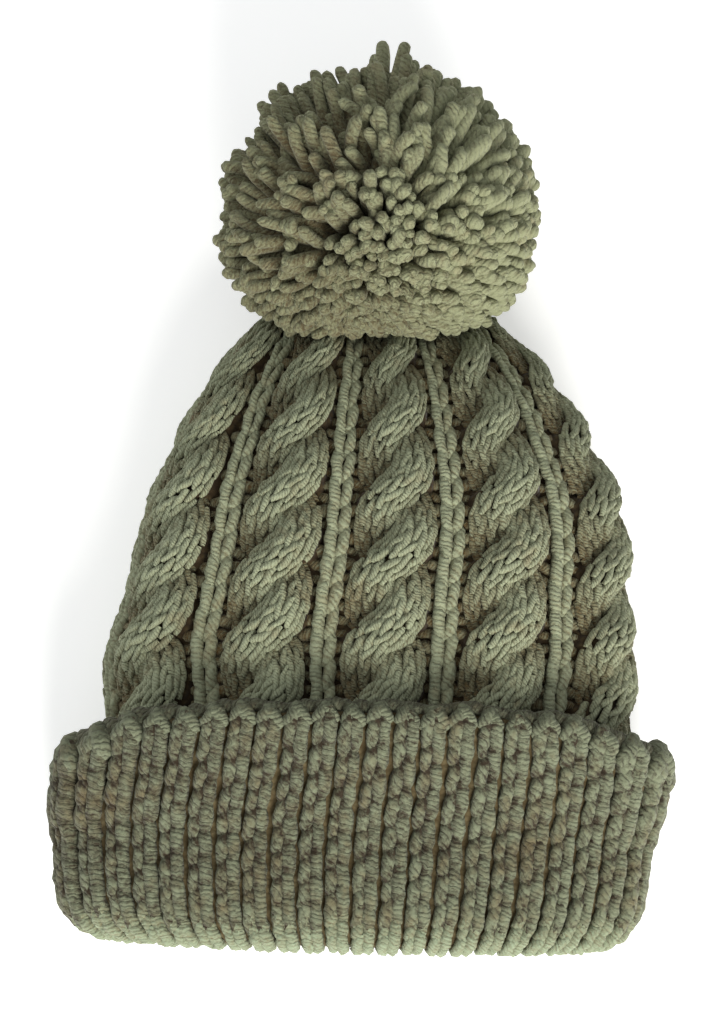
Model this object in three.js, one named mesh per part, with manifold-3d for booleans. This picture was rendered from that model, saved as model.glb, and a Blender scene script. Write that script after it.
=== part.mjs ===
// A hand-knitted bobble hat lying on its back: a cabled crown, a ribbed cuff turned up once, and a pompom.
// Millimetres, +Z up. The mouth looks along -Y, the pompom lies at +Y, and the underside rests on Z = 0.

import * as THREE from 'three';
import { mergeVertices } from 'three/addons/utils/BufferGeometryUtils.js';
import Module from 'manifold-3d';

const wasm = await Module();
wasm.setup();

// Knitted cloth
const CROWN_WALL = 4.5;
const BAND_LAYER = 5.5;
const LAYER_GAP = 0.6;
const SEAT_GAP = 0.3;
const CUFF_CLEARANCE = 1.0;

// Body of the hat, measured over the purl ground, from the fold at the mouth to the gathered top
const BODY_WIDTH = 190;
const BODY_HEIGHT = 58;
const BODY_LENGTH = 248;
const BODY_LEAN = 12;
const BAND_DEPTH = 60;

// Cables, and the knit ribs between them
const CABLE_COUNT = 10;
const CABLE_HEIGHT = 6.5;
const CABLE_DIP = 3.4;
const CROSSING_SPACING = 25;
const FIRST_CROSSING = 73;
const PANEL_RIB_HEIGHT = 3.4;
const CABLE_OFFSET = 5;

// Turned-up cuff
const CUFF_DEPTH = 84;
const CUFF_EDGE_DROP = 14;
const CUFF_SIDE_DROP = 10;
const CUFF_EDGE_SLOPE = 4;
const CUFF_EDGE_ROUND = 5;
const CUFF_FLARE = 2.5;
const RIB_COUNT = 45;
const RIB_HEIGHT = 3.4;
const LIP_OVERHANG = 7;
const FOLD_SLOPE = 5;

// Pompom
const POMPOM_WIDTH = 122;
const POMPOM_LENGTH = 112;
const POMPOM_HEIGHT = 104;
const POMPOM_PRESS = 6;
const POMPOM_OVERLAP = 28;
const HEART_OFFSET = 22;
const LOCK_COUNT = 46;
const LOCK_SIDES = 5;
const LOCK_RADIUS = 14;
const LOCK_DEPTH = 11;

// Sections of the body. along: share of BODY_LENGTH. width: share of BODY_WIDTH. top, bottom: shares of
// BODY_HEIGHT. lean: share of BODY_LEAN. lift: share of the height at which the body lies on the cuff.
// relief: share of the full height of the cables and ribs.
const BODY_SECTIONS = [
  { along: 0.0, width: 0.935, top: 0.76, bottom: 0, lean: 0.0, lift: 0.78, relief: 0 },
  { along: 0.05, width: 1.015, top: 0.8, bottom: 0, lean: 0.0, lift: 0.76, relief: 0 },
  { along: 0.18, width: 1.045, top: 0.87, bottom: 0, lean: 0.12, lift: 0.8, relief: 0 },
  { along: 0.246, width: 1.02, top: 0.91, bottom: 0, lean: 0.3, lift: 0.95, relief: 0.1 },
  { along: 0.33, width: 0.975, top: 0.96, bottom: 0, lean: 0.47, lift: 1.0, relief: 1.0 },
  { along: 0.43, width: 0.99, top: 1.0, bottom: 0, lean: 0.55, lift: 0.35, relief: 1.0 },
  { along: 0.5, width: 0.948, top: 1.02, bottom: 0, lean: 0.68, lift: 0.05, relief: 1.0 },
  { along: 0.575, width: 0.932, top: 1.01, bottom: 0, lean: 0.88, lift: 0.0, relief: 1.0 },
  { along: 0.66, width: 0.89, top: 0.98, bottom: 0, lean: 0.94, lift: 0.0, relief: 1.0 },
  { along: 0.73, width: 0.81, top: 0.93, bottom: 0, lean: 0.92, lift: 0.0, relief: 1.0 },
  { along: 0.786, width: 0.75, top: 0.87, bottom: 0, lean: 0.9, lift: 0.0, relief: 0.95 },
  { along: 0.833, width: 0.68, top: 0.8, bottom: 0, lean: 0.88, lift: 0.0, relief: 0.9 },
  { along: 0.87, width: 0.623, top: 0.74, bottom: 0, lean: 0.83, lift: 0.0, relief: 0.8 },
  { along: 0.9, width: 0.565, top: 0.67, bottom: 0, lean: 0.79, lift: 0.0, relief: 0.7 },
  { along: 0.933, width: 0.5, top: 0.59, bottom: 0.01, lean: 0.76, lift: 0.0, relief: 0.6 },
  { along: 0.968, width: 0.38, top: 0.47, bottom: 0.06, lean: 0.75, lift: 0.0, relief: 0.4 },
  { along: 0.99, width: 0.21, top: 0.36, bottom: 0.16, lean: 0.75, lift: 0.0, relief: 0.2 },
  { along: 1.0, width: 0.0, top: 0.27, bottom: 0.27, lean: 0.75, lift: 0.0, relief: 0 },
];

// Shape of a section: where its widest point lies, how square its two halves are, and how much the cloth
// below the floor line is pressed flat
const WIDEST_SHARE = 0.4;
const FRONT_SQUARENESS = 2.3;
const BACK_SQUARENESS = 3.0;
const FLOOR_PRESS = 1.5;
const BACK_RELIEF = 0.25;
const LOOP_SAMPLES = 240;

// One repeat of the crown's pattern, as shares of its width, with the cable in the middle at 0
const REPEAT_COLUMNS = [-0.39, -0.29, -0.17, -0.055, 0.055, 0.17, 0.29, 0.39, 0.5];
const STRAND_HALF = 0.175;
const STRAND_SWING = 0.155;
const PANEL_RIB_HALF = 0.12;

// Rows of the crown: even steps up to the dome, then at the last sections of the table
const CROWN_ROW_STEP = 8.1;
const DOME_START = 0.91;
const LINING_STEP = 22;
const LINING_COLUMNS = 40;
const LINING_END = 0.95;

const YARN_COLOUR = 0xa89d7c;
const CUFF_COLOUR = 0xa2977a;
const POMPOM_COLOUR = 0xb0a583;

function clamp(value, low, high) {
  return Math.min(Math.max(value, low), high);
}

function mix(a, b, share) {
  return a + (b - a) * share;
}

// Smooth curve through one column of a table, by Hermite pieces with the slopes of the neighbouring rows.
function readTable(table, along, column) {
  const last = table.length - 1;
  let i = 0;
  while (i < last - 1 && along > table[i + 1].along) i += 1;
  const before = table[Math.max(i - 1, 0)];
  const low = table[i];
  const high = table[i + 1];
  const after = table[Math.min(i + 2, last)];
  const step = high.along - low.along;
  const t = clamp((along - low.along) / step, 0, 1);
  const slopeLow = ((high[column] - before[column]) / (high.along - before.along)) * step;
  const slopeHigh = ((after[column] - low[column]) / (after.along - low.along)) * step;
  const t2 = t * t;
  const t3 = t2 * t;
  return (
    (2 * t3 - 3 * t2 + 1) * low[column] +
    (t3 - 2 * t2 + t) * slopeLow +
    (3 * t2 - 2 * t3) * high[column] +
    (t3 - t2) * slopeHigh
  );
}

// How far the body stands off the floor where it lies on the turned-up cuff.
const CUFF_LIFT = BAND_LAYER + CUFF_CLEARANCE + CABLE_HEIGHT * BACK_RELIEF;

// The section of the purl ground at a distance y from the fold, as a closed loop read by its share of the
// way round. Share 0 is the middle of the front, and the loop runs towards +X.
function groundLoop(y) {
  const along = clamp(y / BODY_LENGTH, 0, 1);
  const halfWidth = (BODY_WIDTH / 2) * readTable(BODY_SECTIONS, along, 'width');
  const lift = CUFF_LIFT * clamp(readTable(BODY_SECTIONS, along, 'lift'), 0, 1);
  const bottomShare = Math.max(readTable(BODY_SECTIONS, along, 'bottom'), 0);
  const press = bottomShare > 0 ? 0 : FLOOR_PRESS * (1 - lift / CUFF_LIFT);
  const bottom = BODY_HEIGHT * bottomShare + lift - press;
  const top = BODY_HEIGHT * readTable(BODY_SECTIONS, along, 'top');
  const middle = bottom + (top - bottom) * WIDEST_SHARE;
  const centre = BODY_LEAN * readTable(BODY_SECTIONS, along, 'lean');
  const points = [];
  for (let i = 0; i <= LOOP_SAMPLES; i += 1) {
    const angle = (i / LOOP_SAMPLES) * 2 * Math.PI;
    const across = Math.sin(angle);
    const up = Math.cos(angle);
    const squareness = up > 0 ? FRONT_SQUARENESS : BACK_SQUARENESS;
    const x = Math.sign(across) * Math.abs(across) ** (2 / squareness);
    const z = Math.sign(up) * Math.abs(up) ** (2 / squareness);
    const reach = up > 0 ? top - middle : middle - bottom;
    points.push({ x: centre + x * halfWidth, z: middle + z * reach });
  }
  const travel = [0];
  for (let i = 1; i < points.length; i += 1) {
    const step = Math.hypot(points[i].x - points[i - 1].x, points[i].z - points[i - 1].z);
    travel.push(travel[i - 1] + step);
  }
  const total = travel[LOOP_SAMPLES];
  const at = (share) => {
    const target = (share - Math.floor(share)) * total;
    let low = 0;
    let high = LOOP_SAMPLES;
    while (high - low > 1) {
      const mid = (low + high) >> 1;
      if (travel[mid] <= target) low = mid;
      else high = mid;
    }
    const span = travel[high] - travel[low] || 1;
    const t = (target - travel[low]) / span;
    const a = points[low];
    const b = points[high];
    const length = Math.hypot(b.x - a.x, b.z - a.z) || 1;
    return {
      x: mix(a.x, b.x, t),
      z: mix(a.z, b.z, t),
      nx: (a.z - b.z) / length,
      nz: (b.x - a.x) / length,
    };
  };
  return { at, total };
}

// How much of the relief the floor leaves, from none of it pressed at the front to most at the back.
function unpressed(normalZ) {
  return mix(BACK_RELIEF, 1, (1 + normalZ) / 2);
}

function strandProfile(distance) {
  const share = Math.abs(distance) / STRAND_HALF;
  return share < 1 ? Math.sqrt(1 - share ** 2.4) : 0;
}

// Height of the cabled pattern over the purl ground at a place across one repeat. Each cable is two
// strands that swing from side to side, and the one on its way to the right lies in front.
function patternHeight(across, y) {
  const turn = (y - FIRST_CROSSING) / CROSSING_SPACING;
  let height = 0;
  for (const strand of [0, 1]) {
    const phase = Math.PI * (turn + strand);
    const centre = -STRAND_SWING * Math.cos(phase);
    const lift = CABLE_HEIGHT - (CABLE_DIP / 2) * (1 - Math.sin(phase));
    height = Math.max(height, lift * strandProfile(across - centre));
  }
  const toRib = 0.5 - Math.abs(across);
  if (toRib < PANEL_RIB_HALF) {
    height = Math.max(height, PANEL_RIB_HEIGHT * Math.sqrt(1 - (toRib / PANEL_RIB_HALF) ** 2));
  }
  return height;
}

// A closed mesh from rings of points with the same count, capped at both ends or closed on itself.
function meshFromRings(rings, { closed, firstCap, lastCap }) {
  const count = rings[0].length;
  const positions = rings.flat().flatMap((p) => [p.x, p.y, p.z]);
  const index = [];
  const ringSteps = closed ? rings.length : rings.length - 1;
  for (let r = 0; r < ringSteps; r += 1) {
    const here = r * count;
    const next = ((r + 1) % rings.length) * count;
    for (let i = 0; i < count; i += 1) {
      const j = (i + 1) % count;
      index.push(here + i, next + j, next + i);
      index.push(here + i, here + j, next + j);
    }
  }
  const addCap = (point, ring, forward) => {
    const tip = positions.length / 3;
    positions.push(point.x, point.y, point.z);
    for (let i = 0; i < count; i += 1) {
      const j = (i + 1) % count;
      const pair = forward ? [ring * count + j, ring * count + i] : [ring * count + i, ring * count + j];
      index.push(tip, ...pair);
    }
  };
  if (firstCap) addCap(firstCap, 0, true);
  if (lastCap) addCap(lastCap, rings.length - 1, false);
  const geometry = new THREE.BufferGeometry();
  geometry.setAttribute('position', new THREE.Float32BufferAttribute(positions, 3));
  geometry.setIndex(index);
  return geometry;
}

function toSolid(geometry) {
  const bare = geometry.clone();
  bare.deleteAttribute('normal');
  bare.deleteAttribute('uv');
  const merged = mergeVertices(bare, 1e-4);
  const vertProperties = new Float32Array(merged.attributes.position.array);
  const triVerts = new Uint32Array(merged.index.array);
  return new wasm.Manifold(new wasm.Mesh({ numProp: 3, vertProperties, triVerts }));
}

function toGeometry(solid) {
  const mesh = solid.getMesh();
  const geometry = new THREE.BufferGeometry();
  geometry.setAttribute('position', new THREE.BufferAttribute(new Float32Array(mesh.vertProperties), 3));
  geometry.setIndex(new THREE.BufferAttribute(new Uint32Array(mesh.triVerts), 1));
  return geometry;
}

function namedMesh(name, geometry, colour) {
  const shaded = geometry.toNonIndexed();
  shaded.computeVertexNormals();
  const material = new THREE.MeshStandardMaterial({ color: colour, roughness: 0.95, metalness: 0 });
  material.name = name;
  const mesh = new THREE.Mesh(shaded, material);
  mesh.name = name;
  return mesh;
}

// Distances from the fold at which the crown has a row of points.
function crownRows() {
  const start = BAND_DEPTH + SEAT_GAP;
  const domeStart = DOME_START * BODY_LENGTH;
  const steps = Math.round((domeStart - start) / CROWN_ROW_STEP);
  const rows = [];
  for (let i = 0; i < steps; i += 1) rows.push(mix(start, domeStart, i / steps));
  for (const section of BODY_SECTIONS) {
    if (section.along >= DOME_START && section.along < 1) rows.push(section.along * BODY_LENGTH);
  }
  return rows;
}

function middleOf(ring) {
  return ring.reduce((sum, p) => sum.add(p), new THREE.Vector3()).divideScalar(ring.length);
}

// The outside of the crown from a given row up, closed at its lower end. Grown, it cuts the pompom's seat.
function crownOutside(from, grow) {
  const rows = crownRows().filter((y) => y >= from);
  const rings = rows.map((y) => {
    const loop = groundLoop(y);
    const relief = clamp(readTable(BODY_SECTIONS, y / BODY_LENGTH, 'relief'), 0, 1);
    const ring = [];
    for (let k = 0; k < CABLE_COUNT; k += 1) {
      for (const column of REPEAT_COLUMNS) {
        const p = loop.at((k + column) / CABLE_COUNT + CABLE_OFFSET / loop.total);
        const height = patternHeight(column, y) * relief * unpressed(p.nz) + grow;
        const z = p.z + p.nz * height;
        ring.push(new THREE.Vector3(p.x + p.nx * height, y + grow, Math.max(z, -grow)));
      }
    }
    return ring;
  });
  const last = BODY_SECTIONS[BODY_SECTIONS.length - 1];
  const tip = new THREE.Vector3(BODY_LEAN * last.lean, BODY_LENGTH + 2 * grow, BODY_HEIGHT * last.top);
  return meshFromRings(rings, { firstCap: middleOf(rings[0]), lastCap: tip });
}

// A plain ring of the ground moved inwards, for the hollow of the crown.
function plainRing(y, offset, count, floor) {
  const loop = groundLoop(y);
  const ring = [];
  for (let i = 0; i < count; i += 1) {
    const p = loop.at(i / count);
    ring.push(new THREE.Vector3(p.x + p.nx * offset, y, Math.max(p.z + p.nz * offset, floor)));
  }
  return ring;
}

function crownHollow() {
  const start = BAND_DEPTH - LINING_STEP;
  const end = LINING_END * BODY_LENGTH - CROWN_WALL;
  const steps = Math.ceil((end - start) / LINING_STEP);
  const rings = [];
  for (let i = 0; i <= steps; i += 1) {
    rings.push(plainRing(mix(start, end, i / steps), -CROWN_WALL, LINING_COLUMNS, CROWN_WALL));
  }
  return meshFromRings(rings, { firstCap: middleOf(rings[0]), lastCap: middleOf(rings[rings.length - 1]) });
}

function makeCrown() {
  const solid = toSolid(crownOutside(0, 0)).subtract(toSolid(crownHollow()));
  return namedMesh('crown', toGeometry(solid), YARN_COLOUR);
}

// The rows of the band round its two layers and the fold, each a distance y from the fold, an offset from
// the ground, and the shares of the cuff's flare, rib height and edge drop that it takes. The edge hangs
// lowest at the back and falls away at the two sides, a little more on the right.
function cuffRows() {
  const foldRadius = BAND_LAYER + LAYER_GAP / 2;
  const outer = LAYER_GAP + BAND_LAYER;
  const edge = CUFF_DEPTH - CUFF_EDGE_ROUND;
  const rows = [
    { y: BAND_DEPTH, out: -BAND_LAYER, rib: -0.3 },
    { y: foldRadius, out: -BAND_LAYER, rib: -0.3 },
  ];
  for (const angle of [60, 120]) {
    const turn = THREE.MathUtils.degToRad(angle);
    const out = LAYER_GAP / 2 - foldRadius * Math.cos(turn);
    rows.push({ y: foldRadius * (1 - Math.sin(turn)), out, rib: angle / 120 });
  }
  rows.push({ y: foldRadius * 2, out: outer, rib: 1 });
  rows.push({ y: CUFF_DEPTH / 2, out: outer, rib: 1, flare: 0.2, drop: 0.5 });
  rows.push({ y: edge, out: outer + CUFF_CLEARANCE, rib: 1, flare: 1, drop: 1, over: 1 });
  const middle = outer + CUFF_CLEARANCE - BAND_LAYER / 2;
  rows.push({ y: CUFF_DEPTH, out: middle, rib: 0.4, flare: 1, drop: 1, over: 1 });
  rows.push({ y: edge, out: LAYER_GAP + CUFF_CLEARANCE, flare: 1, drop: 1, over: 1 });
  rows.push({ y: BAND_DEPTH, out: LAYER_GAP + CUFF_CLEARANCE, flare: 0.5, drop: 0.25, over: 0.2 });
  rows.push({ y: CUFF_DEPTH / 2, out: LAYER_GAP });
  rows.push({ y: BAND_DEPTH, out: 0 });
  return rows;
}

const RIB_COLUMNS = [
  { share: 0, height: 0 },
  { share: 0.32, height: 1 },
  { share: 0.68, height: 1 },
];

function makeCuff() {
  const rings = cuffRows().map((row) => {
    const { y, out, rib = 0, flare = 0, drop = 0, over = 0 } = row;
    const loop = groundLoop(y);
    const ring = [];
    for (let k = 0; k < RIB_COUNT; k += 1) {
      for (const column of RIB_COLUMNS) {
        const share = (k + column.share) / RIB_COUNT;
        const level = loop.at(share);
        const aside = CUFF_SIDE_DROP * THREE.MathUtils.smoothstep(Math.abs(level.nx), 0, 0.75);
        const across = (CUFF_EDGE_SLOPE * level.x) / BODY_WIDTH;
        const fall = drop * ((CUFF_EDGE_DROP * (1 - level.nz)) / 2 + aside + across);
        const p = groundLoop(y - fall).at(share);
        const front = (1 + p.nz) / 2;
        const coverage = over * CABLE_HEIGHT * unpressed(p.nz);
        const relief = RIB_HEIGHT * rib * column.height * unpressed(p.nz);
        const offset = out + coverage + flare * CUFF_FLARE * front + relief;
        const z = Math.max(p.z + p.nz * offset, 0);
        const tuck = LIP_OVERHANG * (1 - clamp(z / BODY_HEIGHT, 0, 1)) * (1 - clamp(y / BAND_DEPTH, 0, 1));
        const slope = (FOLD_SLOPE * p.x) / BODY_WIDTH;
        const skew = slope * (1 - clamp(y / BAND_DEPTH, 0, 1));
        ring.push(new THREE.Vector3(p.x + p.nx * offset, y + tuck - fall - skew, z));
      }
    }
    return ring;
  });
  const geometry = meshFromRings(rings, { closed: true });
  return namedMesh('cuff', geometry, CUFF_COLOUR);
}

// Size and place of the pompom's ball before the floor presses its foot flat.
const BALL = {
  centre: new THREE.Vector3(
    BODY_LEAN * BODY_SECTIONS[BODY_SECTIONS.length - 1].lean,
    BODY_LENGTH + POMPOM_LENGTH / 2 - POMPOM_OVERLAP,
    (POMPOM_HEIGHT - POMPOM_PRESS) / 2,
  ),
  radii: new THREE.Vector3(POMPOM_WIDTH / 2, POMPOM_LENGTH / 2, (POMPOM_HEIGHT + POMPOM_PRESS) / 2),
};

// Distance from a point inside the ball to its surface along a direction.
function reachInBall(from, direction) {
  const start = from.clone().sub(BALL.centre).divide(BALL.radii);
  const run = direction.clone().divide(BALL.radii);
  const a = run.dot(run);
  const b = start.dot(run);
  const c = start.dot(start) - 1;
  return (-b + Math.sqrt(b * b - a * c)) / a;
}

// Even directions all round, by the golden angle.
function evenDirection(i, count) {
  const golden = Math.PI * (3 - Math.sqrt(5));
  const up = 1 - (2 * (i + 0.5)) / count;
  const flat = Math.sqrt(1 - up * up);
  return new THREE.Vector3(flat * Math.cos(i * golden), flat * Math.sin(i * golden), up);
}

// One lock of yarn: a blunt bundle that widens from the heart and rounds off at its tip.
function lockGeometry(length, radius) {
  const profile = [
    new THREE.Vector2(0, length * 0.25),
    new THREE.Vector2(radius, length * 0.88),
    new THREE.Vector2(radius * 0.62, length),
    new THREE.Vector2(0, length),
  ];
  return new THREE.LatheGeometry(profile, LOCK_SIDES);
}

function makePompom() {
  const coreRadii = BALL.radii.clone().subScalar(LOCK_DEPTH);
  const coreGeometry = new THREE.IcosahedronGeometry(1, 2);
  coreGeometry.scale(coreRadii.x, coreRadii.y, coreRadii.z);
  coreGeometry.translate(BALL.centre.x, BALL.centre.y, BALL.centre.z);
  let solid = toSolid(coreGeometry);
  const heart = BALL.centre.clone().add(new THREE.Vector3(0, -HEART_OFFSET, 0));
  const meanReach = (BALL.radii.x + BALL.radii.y + BALL.radii.z) / 3;
  for (let i = 0; i < LOCK_COUNT; i += 1) {
    const direction = evenDirection(i, LOCK_COUNT);
    const trim = 0.97 + 0.03 * Math.sin(i * 2.4);
    const length = reachInBall(heart, direction) * trim;
    const geometry = lockGeometry(length, LOCK_RADIUS * (length / meanReach));
    const turn = new THREE.Quaternion().setFromUnitVectors(new THREE.Vector3(0, 1, 0), direction);
    geometry.applyQuaternion(turn);
    geometry.translate(heart.x, heart.y, heart.z);
    solid = solid.add(toSolid(geometry));
  }
  const above = new THREE.BoxGeometry(POMPOM_WIDTH * 2, POMPOM_LENGTH * 2, POMPOM_HEIGHT * 2);
  above.translate(BALL.centre.x, BALL.centre.y, POMPOM_HEIGHT);
  const seat = crownOutside(BODY_LENGTH - POMPOM_OVERLAP * 1.5, SEAT_GAP);
  solid = solid.intersect(toSolid(above)).subtract(toSolid(seat));
  return namedMesh('pompom', toGeometry(solid), POMPOM_COLOUR);
}

const hat = new THREE.Group();
hat.name = 'cable_knit_hat';
hat.add(makeCrown(), makeCuff(), makePompom());

// The origin is the middle of the hat's own box, at the floor.
const box = new THREE.Box3().setFromObject(hat);
hat.position.set(-(box.min.x + box.max.x) / 2, -(box.min.y + box.max.y) / 2, -box.min.z);

export default hat;
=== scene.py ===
"""A hand-knitted cabled bobble hat on a pale floor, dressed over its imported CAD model."""

import math
from functools import partial

import bpy
import numpy as np
from mathutils import Matrix, Vector


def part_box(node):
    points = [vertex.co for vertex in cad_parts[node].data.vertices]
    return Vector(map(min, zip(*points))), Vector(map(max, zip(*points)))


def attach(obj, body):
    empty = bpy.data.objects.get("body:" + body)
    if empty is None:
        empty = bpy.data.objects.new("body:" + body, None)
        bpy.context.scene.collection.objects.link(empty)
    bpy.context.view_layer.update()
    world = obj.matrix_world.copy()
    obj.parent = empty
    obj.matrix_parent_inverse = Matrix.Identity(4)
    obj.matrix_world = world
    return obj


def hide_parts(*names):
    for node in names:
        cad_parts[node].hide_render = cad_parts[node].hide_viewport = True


bl_info = {
    "name": "Cable knit hat",
    "version": (1, 0, 0),
    "blender": (4, 5, 0),
    "location": "3D View > Sidebar > Hat",
    "description": "Knits the crown, cuff and pompom of a cabled hat over its CAD model",
    "category": "Add Mesh",
}

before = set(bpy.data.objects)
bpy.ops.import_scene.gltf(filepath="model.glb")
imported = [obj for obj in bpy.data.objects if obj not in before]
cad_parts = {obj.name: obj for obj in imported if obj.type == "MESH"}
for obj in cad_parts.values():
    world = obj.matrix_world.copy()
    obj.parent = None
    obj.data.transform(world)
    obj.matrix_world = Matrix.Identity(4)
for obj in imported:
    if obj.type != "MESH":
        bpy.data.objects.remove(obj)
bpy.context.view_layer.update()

MM = 0.001

# The body's sizes, in millimetres, as the CAD has them
BODY_WIDTH = 190
BODY_HEIGHT = 58
BODY_LENGTH = 248
BODY_LEAN = 12
BAND_DEPTH = 60
BAND_LAYER = 5.5
LAYER_GAP = 0.6
CUFF_CLEARANCE = 1.0
CUFF_DEPTH = 84
CUFF_EDGE_DROP = 14
CUFF_SIDE_DROP = 10
CUFF_EDGE_SLOPE = 4
CUFF_FLARE = 2.5
RIB_COUNT = 45
LIP_OVERHANG = 7
FOLD_SLOPE = 5
CROWN_WALL = 4.5
CABLE_COUNT = 10
CABLE_OFFSET = 5
CABLE_HEIGHT = 6.5
CROSSING_SPACING = 25
FIRST_CROSSING = 73
FLOOR_PRESS = 1.5
BACK_RELIEF = 0.25
WIDEST_SHARE = 0.4
FRONT_SQUARENESS = 2.3
BACK_SQUARENESS = 3.0
POMPOM_WIDTH = 122
POMPOM_LENGTH = 112
POMPOM_HEIGHT = 104
POMPOM_PRESS = 6
POMPOM_OVERLAP = 28
HEART_OFFSET = 22
CUFF_LIFT = BAND_LAYER + CUFF_CLEARANCE + CABLE_HEIGHT * BACK_RELIEF

# Sections of the body: along, width, top, bottom, lean, lift, relief
SECTION_COLUMNS = ["along", "width", "top", "bottom", "lean", "lift", "relief"]
BODY_SECTIONS = np.array([
    [0.0, 0.935, 0.76, 0, 0.0, 0.78, 0],
    [0.05, 1.015, 0.8, 0, 0.0, 0.76, 0],
    [0.18, 1.045, 0.87, 0, 0.12, 0.8, 0],
    [0.246, 1.02, 0.91, 0, 0.3, 0.95, 0.1],
    [0.33, 0.975, 0.96, 0, 0.47, 1.0, 1.0],
    [0.43, 0.99, 1.0, 0, 0.55, 0.35, 1.0],
    [0.5, 0.948, 1.02, 0, 0.68, 0.05, 1.0],
    [0.575, 0.932, 1.01, 0, 0.88, 0.0, 1.0],
    [0.66, 0.89, 0.98, 0, 0.94, 0.0, 1.0],
    [0.73, 0.81, 0.93, 0, 0.92, 0.0, 1.0],
    [0.786, 0.75, 0.87, 0, 0.9, 0.0, 0.95],
    [0.833, 0.68, 0.8, 0, 0.88, 0.0, 0.9],
    [0.87, 0.623, 0.74, 0, 0.83, 0.0, 0.8],
    [0.9, 0.565, 0.67, 0, 0.79, 0.0, 0.7],
    [0.933, 0.5, 0.59, 0.01, 0.76, 0.0, 0.6],
    [0.968, 0.38, 0.47, 0.06, 0.75, 0.0, 0.4],
    [0.99, 0.21, 0.36, 0.16, 0.75, 0.0, 0.2],
    [1.0, 0.0, 0.27, 0.27, 0.75, 0.0, 0],
])

# The frame's origin, measured from the fold line that the sizes above start at
ORIGIN_X = -4.1
ORIGIN_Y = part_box("crown")[1].y / MM - BODY_LENGTH

GROUND_SHARES = 480


def read_table(along, column):
    """Smooth curve through one column of the body's sections."""
    keys = BODY_SECTIONS[:, 0]
    values = BODY_SECTIONS[:, SECTION_COLUMNS.index(column)]
    last = len(keys) - 1
    i = np.clip(np.searchsorted(keys, along, side="left") - 1, 0, last - 1)
    before = np.maximum(i - 1, 0)
    after = np.minimum(i + 2, last)
    step = keys[i + 1] - keys[i]
    t = np.clip((along - keys[i]) / step, 0, 1)
    slope_low = (values[i + 1] - values[before]) / (keys[i + 1] - keys[before]) * step
    slope_high = (values[after] - values[i]) / (keys[after] - keys[i]) * step
    t2 = t * t
    t3 = t2 * t
    return (
        (2 * t3 - 3 * t2 + 1) * values[i]
        + (t3 - 2 * t2 + t) * slope_low
        + (3 * t2 - 2 * t3) * values[i + 1]
        + (t3 - t2) * slope_high
    )


def section_sizes(y):
    """Half width, centre, bottom, middle and top of the body's section at a distance y from the fold."""
    along = np.clip(y / BODY_LENGTH, 0, 1)
    half_width = BODY_WIDTH / 2 * read_table(along, "width")
    lift = CUFF_LIFT * np.clip(read_table(along, "lift"), 0, 1)
    bottom_share = np.maximum(read_table(along, "bottom"), 0)
    press = np.where(bottom_share > 0, 0, FLOOR_PRESS * (1 - lift / CUFF_LIFT))
    bottom = BODY_HEIGHT * bottom_share + lift - press
    top = BODY_HEIGHT * read_table(along, "top")
    middle = bottom + (top - bottom) * WIDEST_SHARE
    centre = BODY_LEAN * read_table(along, "lean")
    return half_width, centre, bottom, middle, top


def make_ground():
    """The body's smooth surface as a grid: one loop for each millimetre of its length."""
    angle = np.linspace(0, 2 * np.pi, 721)
    across = np.sin(angle)
    up = np.cos(angle)
    power = np.where(up > 0, 2 / FRONT_SQUARENESS, 2 / BACK_SQUARENESS)
    unit_x = np.sign(across) * np.abs(across) ** power
    unit_z = np.sign(up) * np.abs(up) ** power
    shares = np.arange(GROUND_SHARES + 1) / GROUND_SHARES
    grid_x = []
    grid_z = []
    totals = []
    for y in range(BODY_LENGTH + 1):
        half_width, centre, bottom, middle, top = section_sizes(y)
        x = centre + unit_x * max(half_width, 0.01)
        z = middle + unit_z * np.where(up > 0, top - middle, middle - bottom)
        travel = np.concatenate([[0], np.cumsum(np.hypot(np.diff(x), np.diff(z)))])
        grid_x.append(np.interp(shares * travel[-1], travel, x))
        grid_z.append(np.interp(shares * travel[-1], travel, z))
        totals.append(travel[-1])
    return np.array(grid_x), np.array(grid_z), np.array(totals)


GRID_X, GRID_Z, LOOP_TOTALS = make_ground()


def loop_total(y):
    return np.interp(y, np.arange(BODY_LENGTH + 1), LOOP_TOTALS)


def ground(share, y):
    """Points of the smooth surface, in millimetres from the fold line."""
    share, y = np.broadcast_arrays(np.asarray(share, float), np.asarray(y, float))
    column = (share - np.floor(share)) * GROUND_SHARES
    c0 = np.floor(column).astype(int)
    cf = column - c0
    row = np.clip(y, 0, BODY_LENGTH - 1e-6)
    r0 = np.floor(row).astype(int)
    rf = row - r0

    def read(grid):
        low = grid[r0, c0] * (1 - cf) + grid[r0, c0 + 1] * cf
        high = grid[r0 + 1, c0] * (1 - cf) + grid[r0 + 1, c0 + 1] * cf
        return low * (1 - rf) + high * rf

    return np.stack([read(GRID_X), y, read(GRID_Z)], axis=-1)


def unit(vectors):
    length = np.linalg.norm(vectors, axis=-1, keepdims=True)
    return vectors / np.maximum(length, 1e-9)


def ground_normal(share, y):
    step = 0.004
    y = np.clip(y, 1, BODY_LENGTH - 2)
    around = ground(share + step, y) - ground(share - step, y)
    along = ground(share, y + 1.5) - ground(share, y - 1.5)
    return unit(np.cross(around, along))


def unpressed(normal_z):
    """How much of the relief the floor leaves."""
    return BACK_RELIEF + (1 - BACK_RELIEF) * (1 + normal_z) / 2


def relief_share(y):
    return np.clip(read_table(y / BODY_LENGTH, "relief"), 0, 1)


def to_frame(points):
    """From millimetres at the fold line to the frame's metres."""
    return (points + np.array([ORIGIN_X, ORIGIN_Y, 0])) * MM


# The cables: two strands that swing across each other, the one on its way to the right in front
STRAND_SWING = 0.158
STRAND_HALF = 0.222
SWING_SHARPNESS = 0.085
FRONT_LIFT = 9.0
BEHIND_LIFT = 1.2
LIFT_DELAY = 0.42

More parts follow.
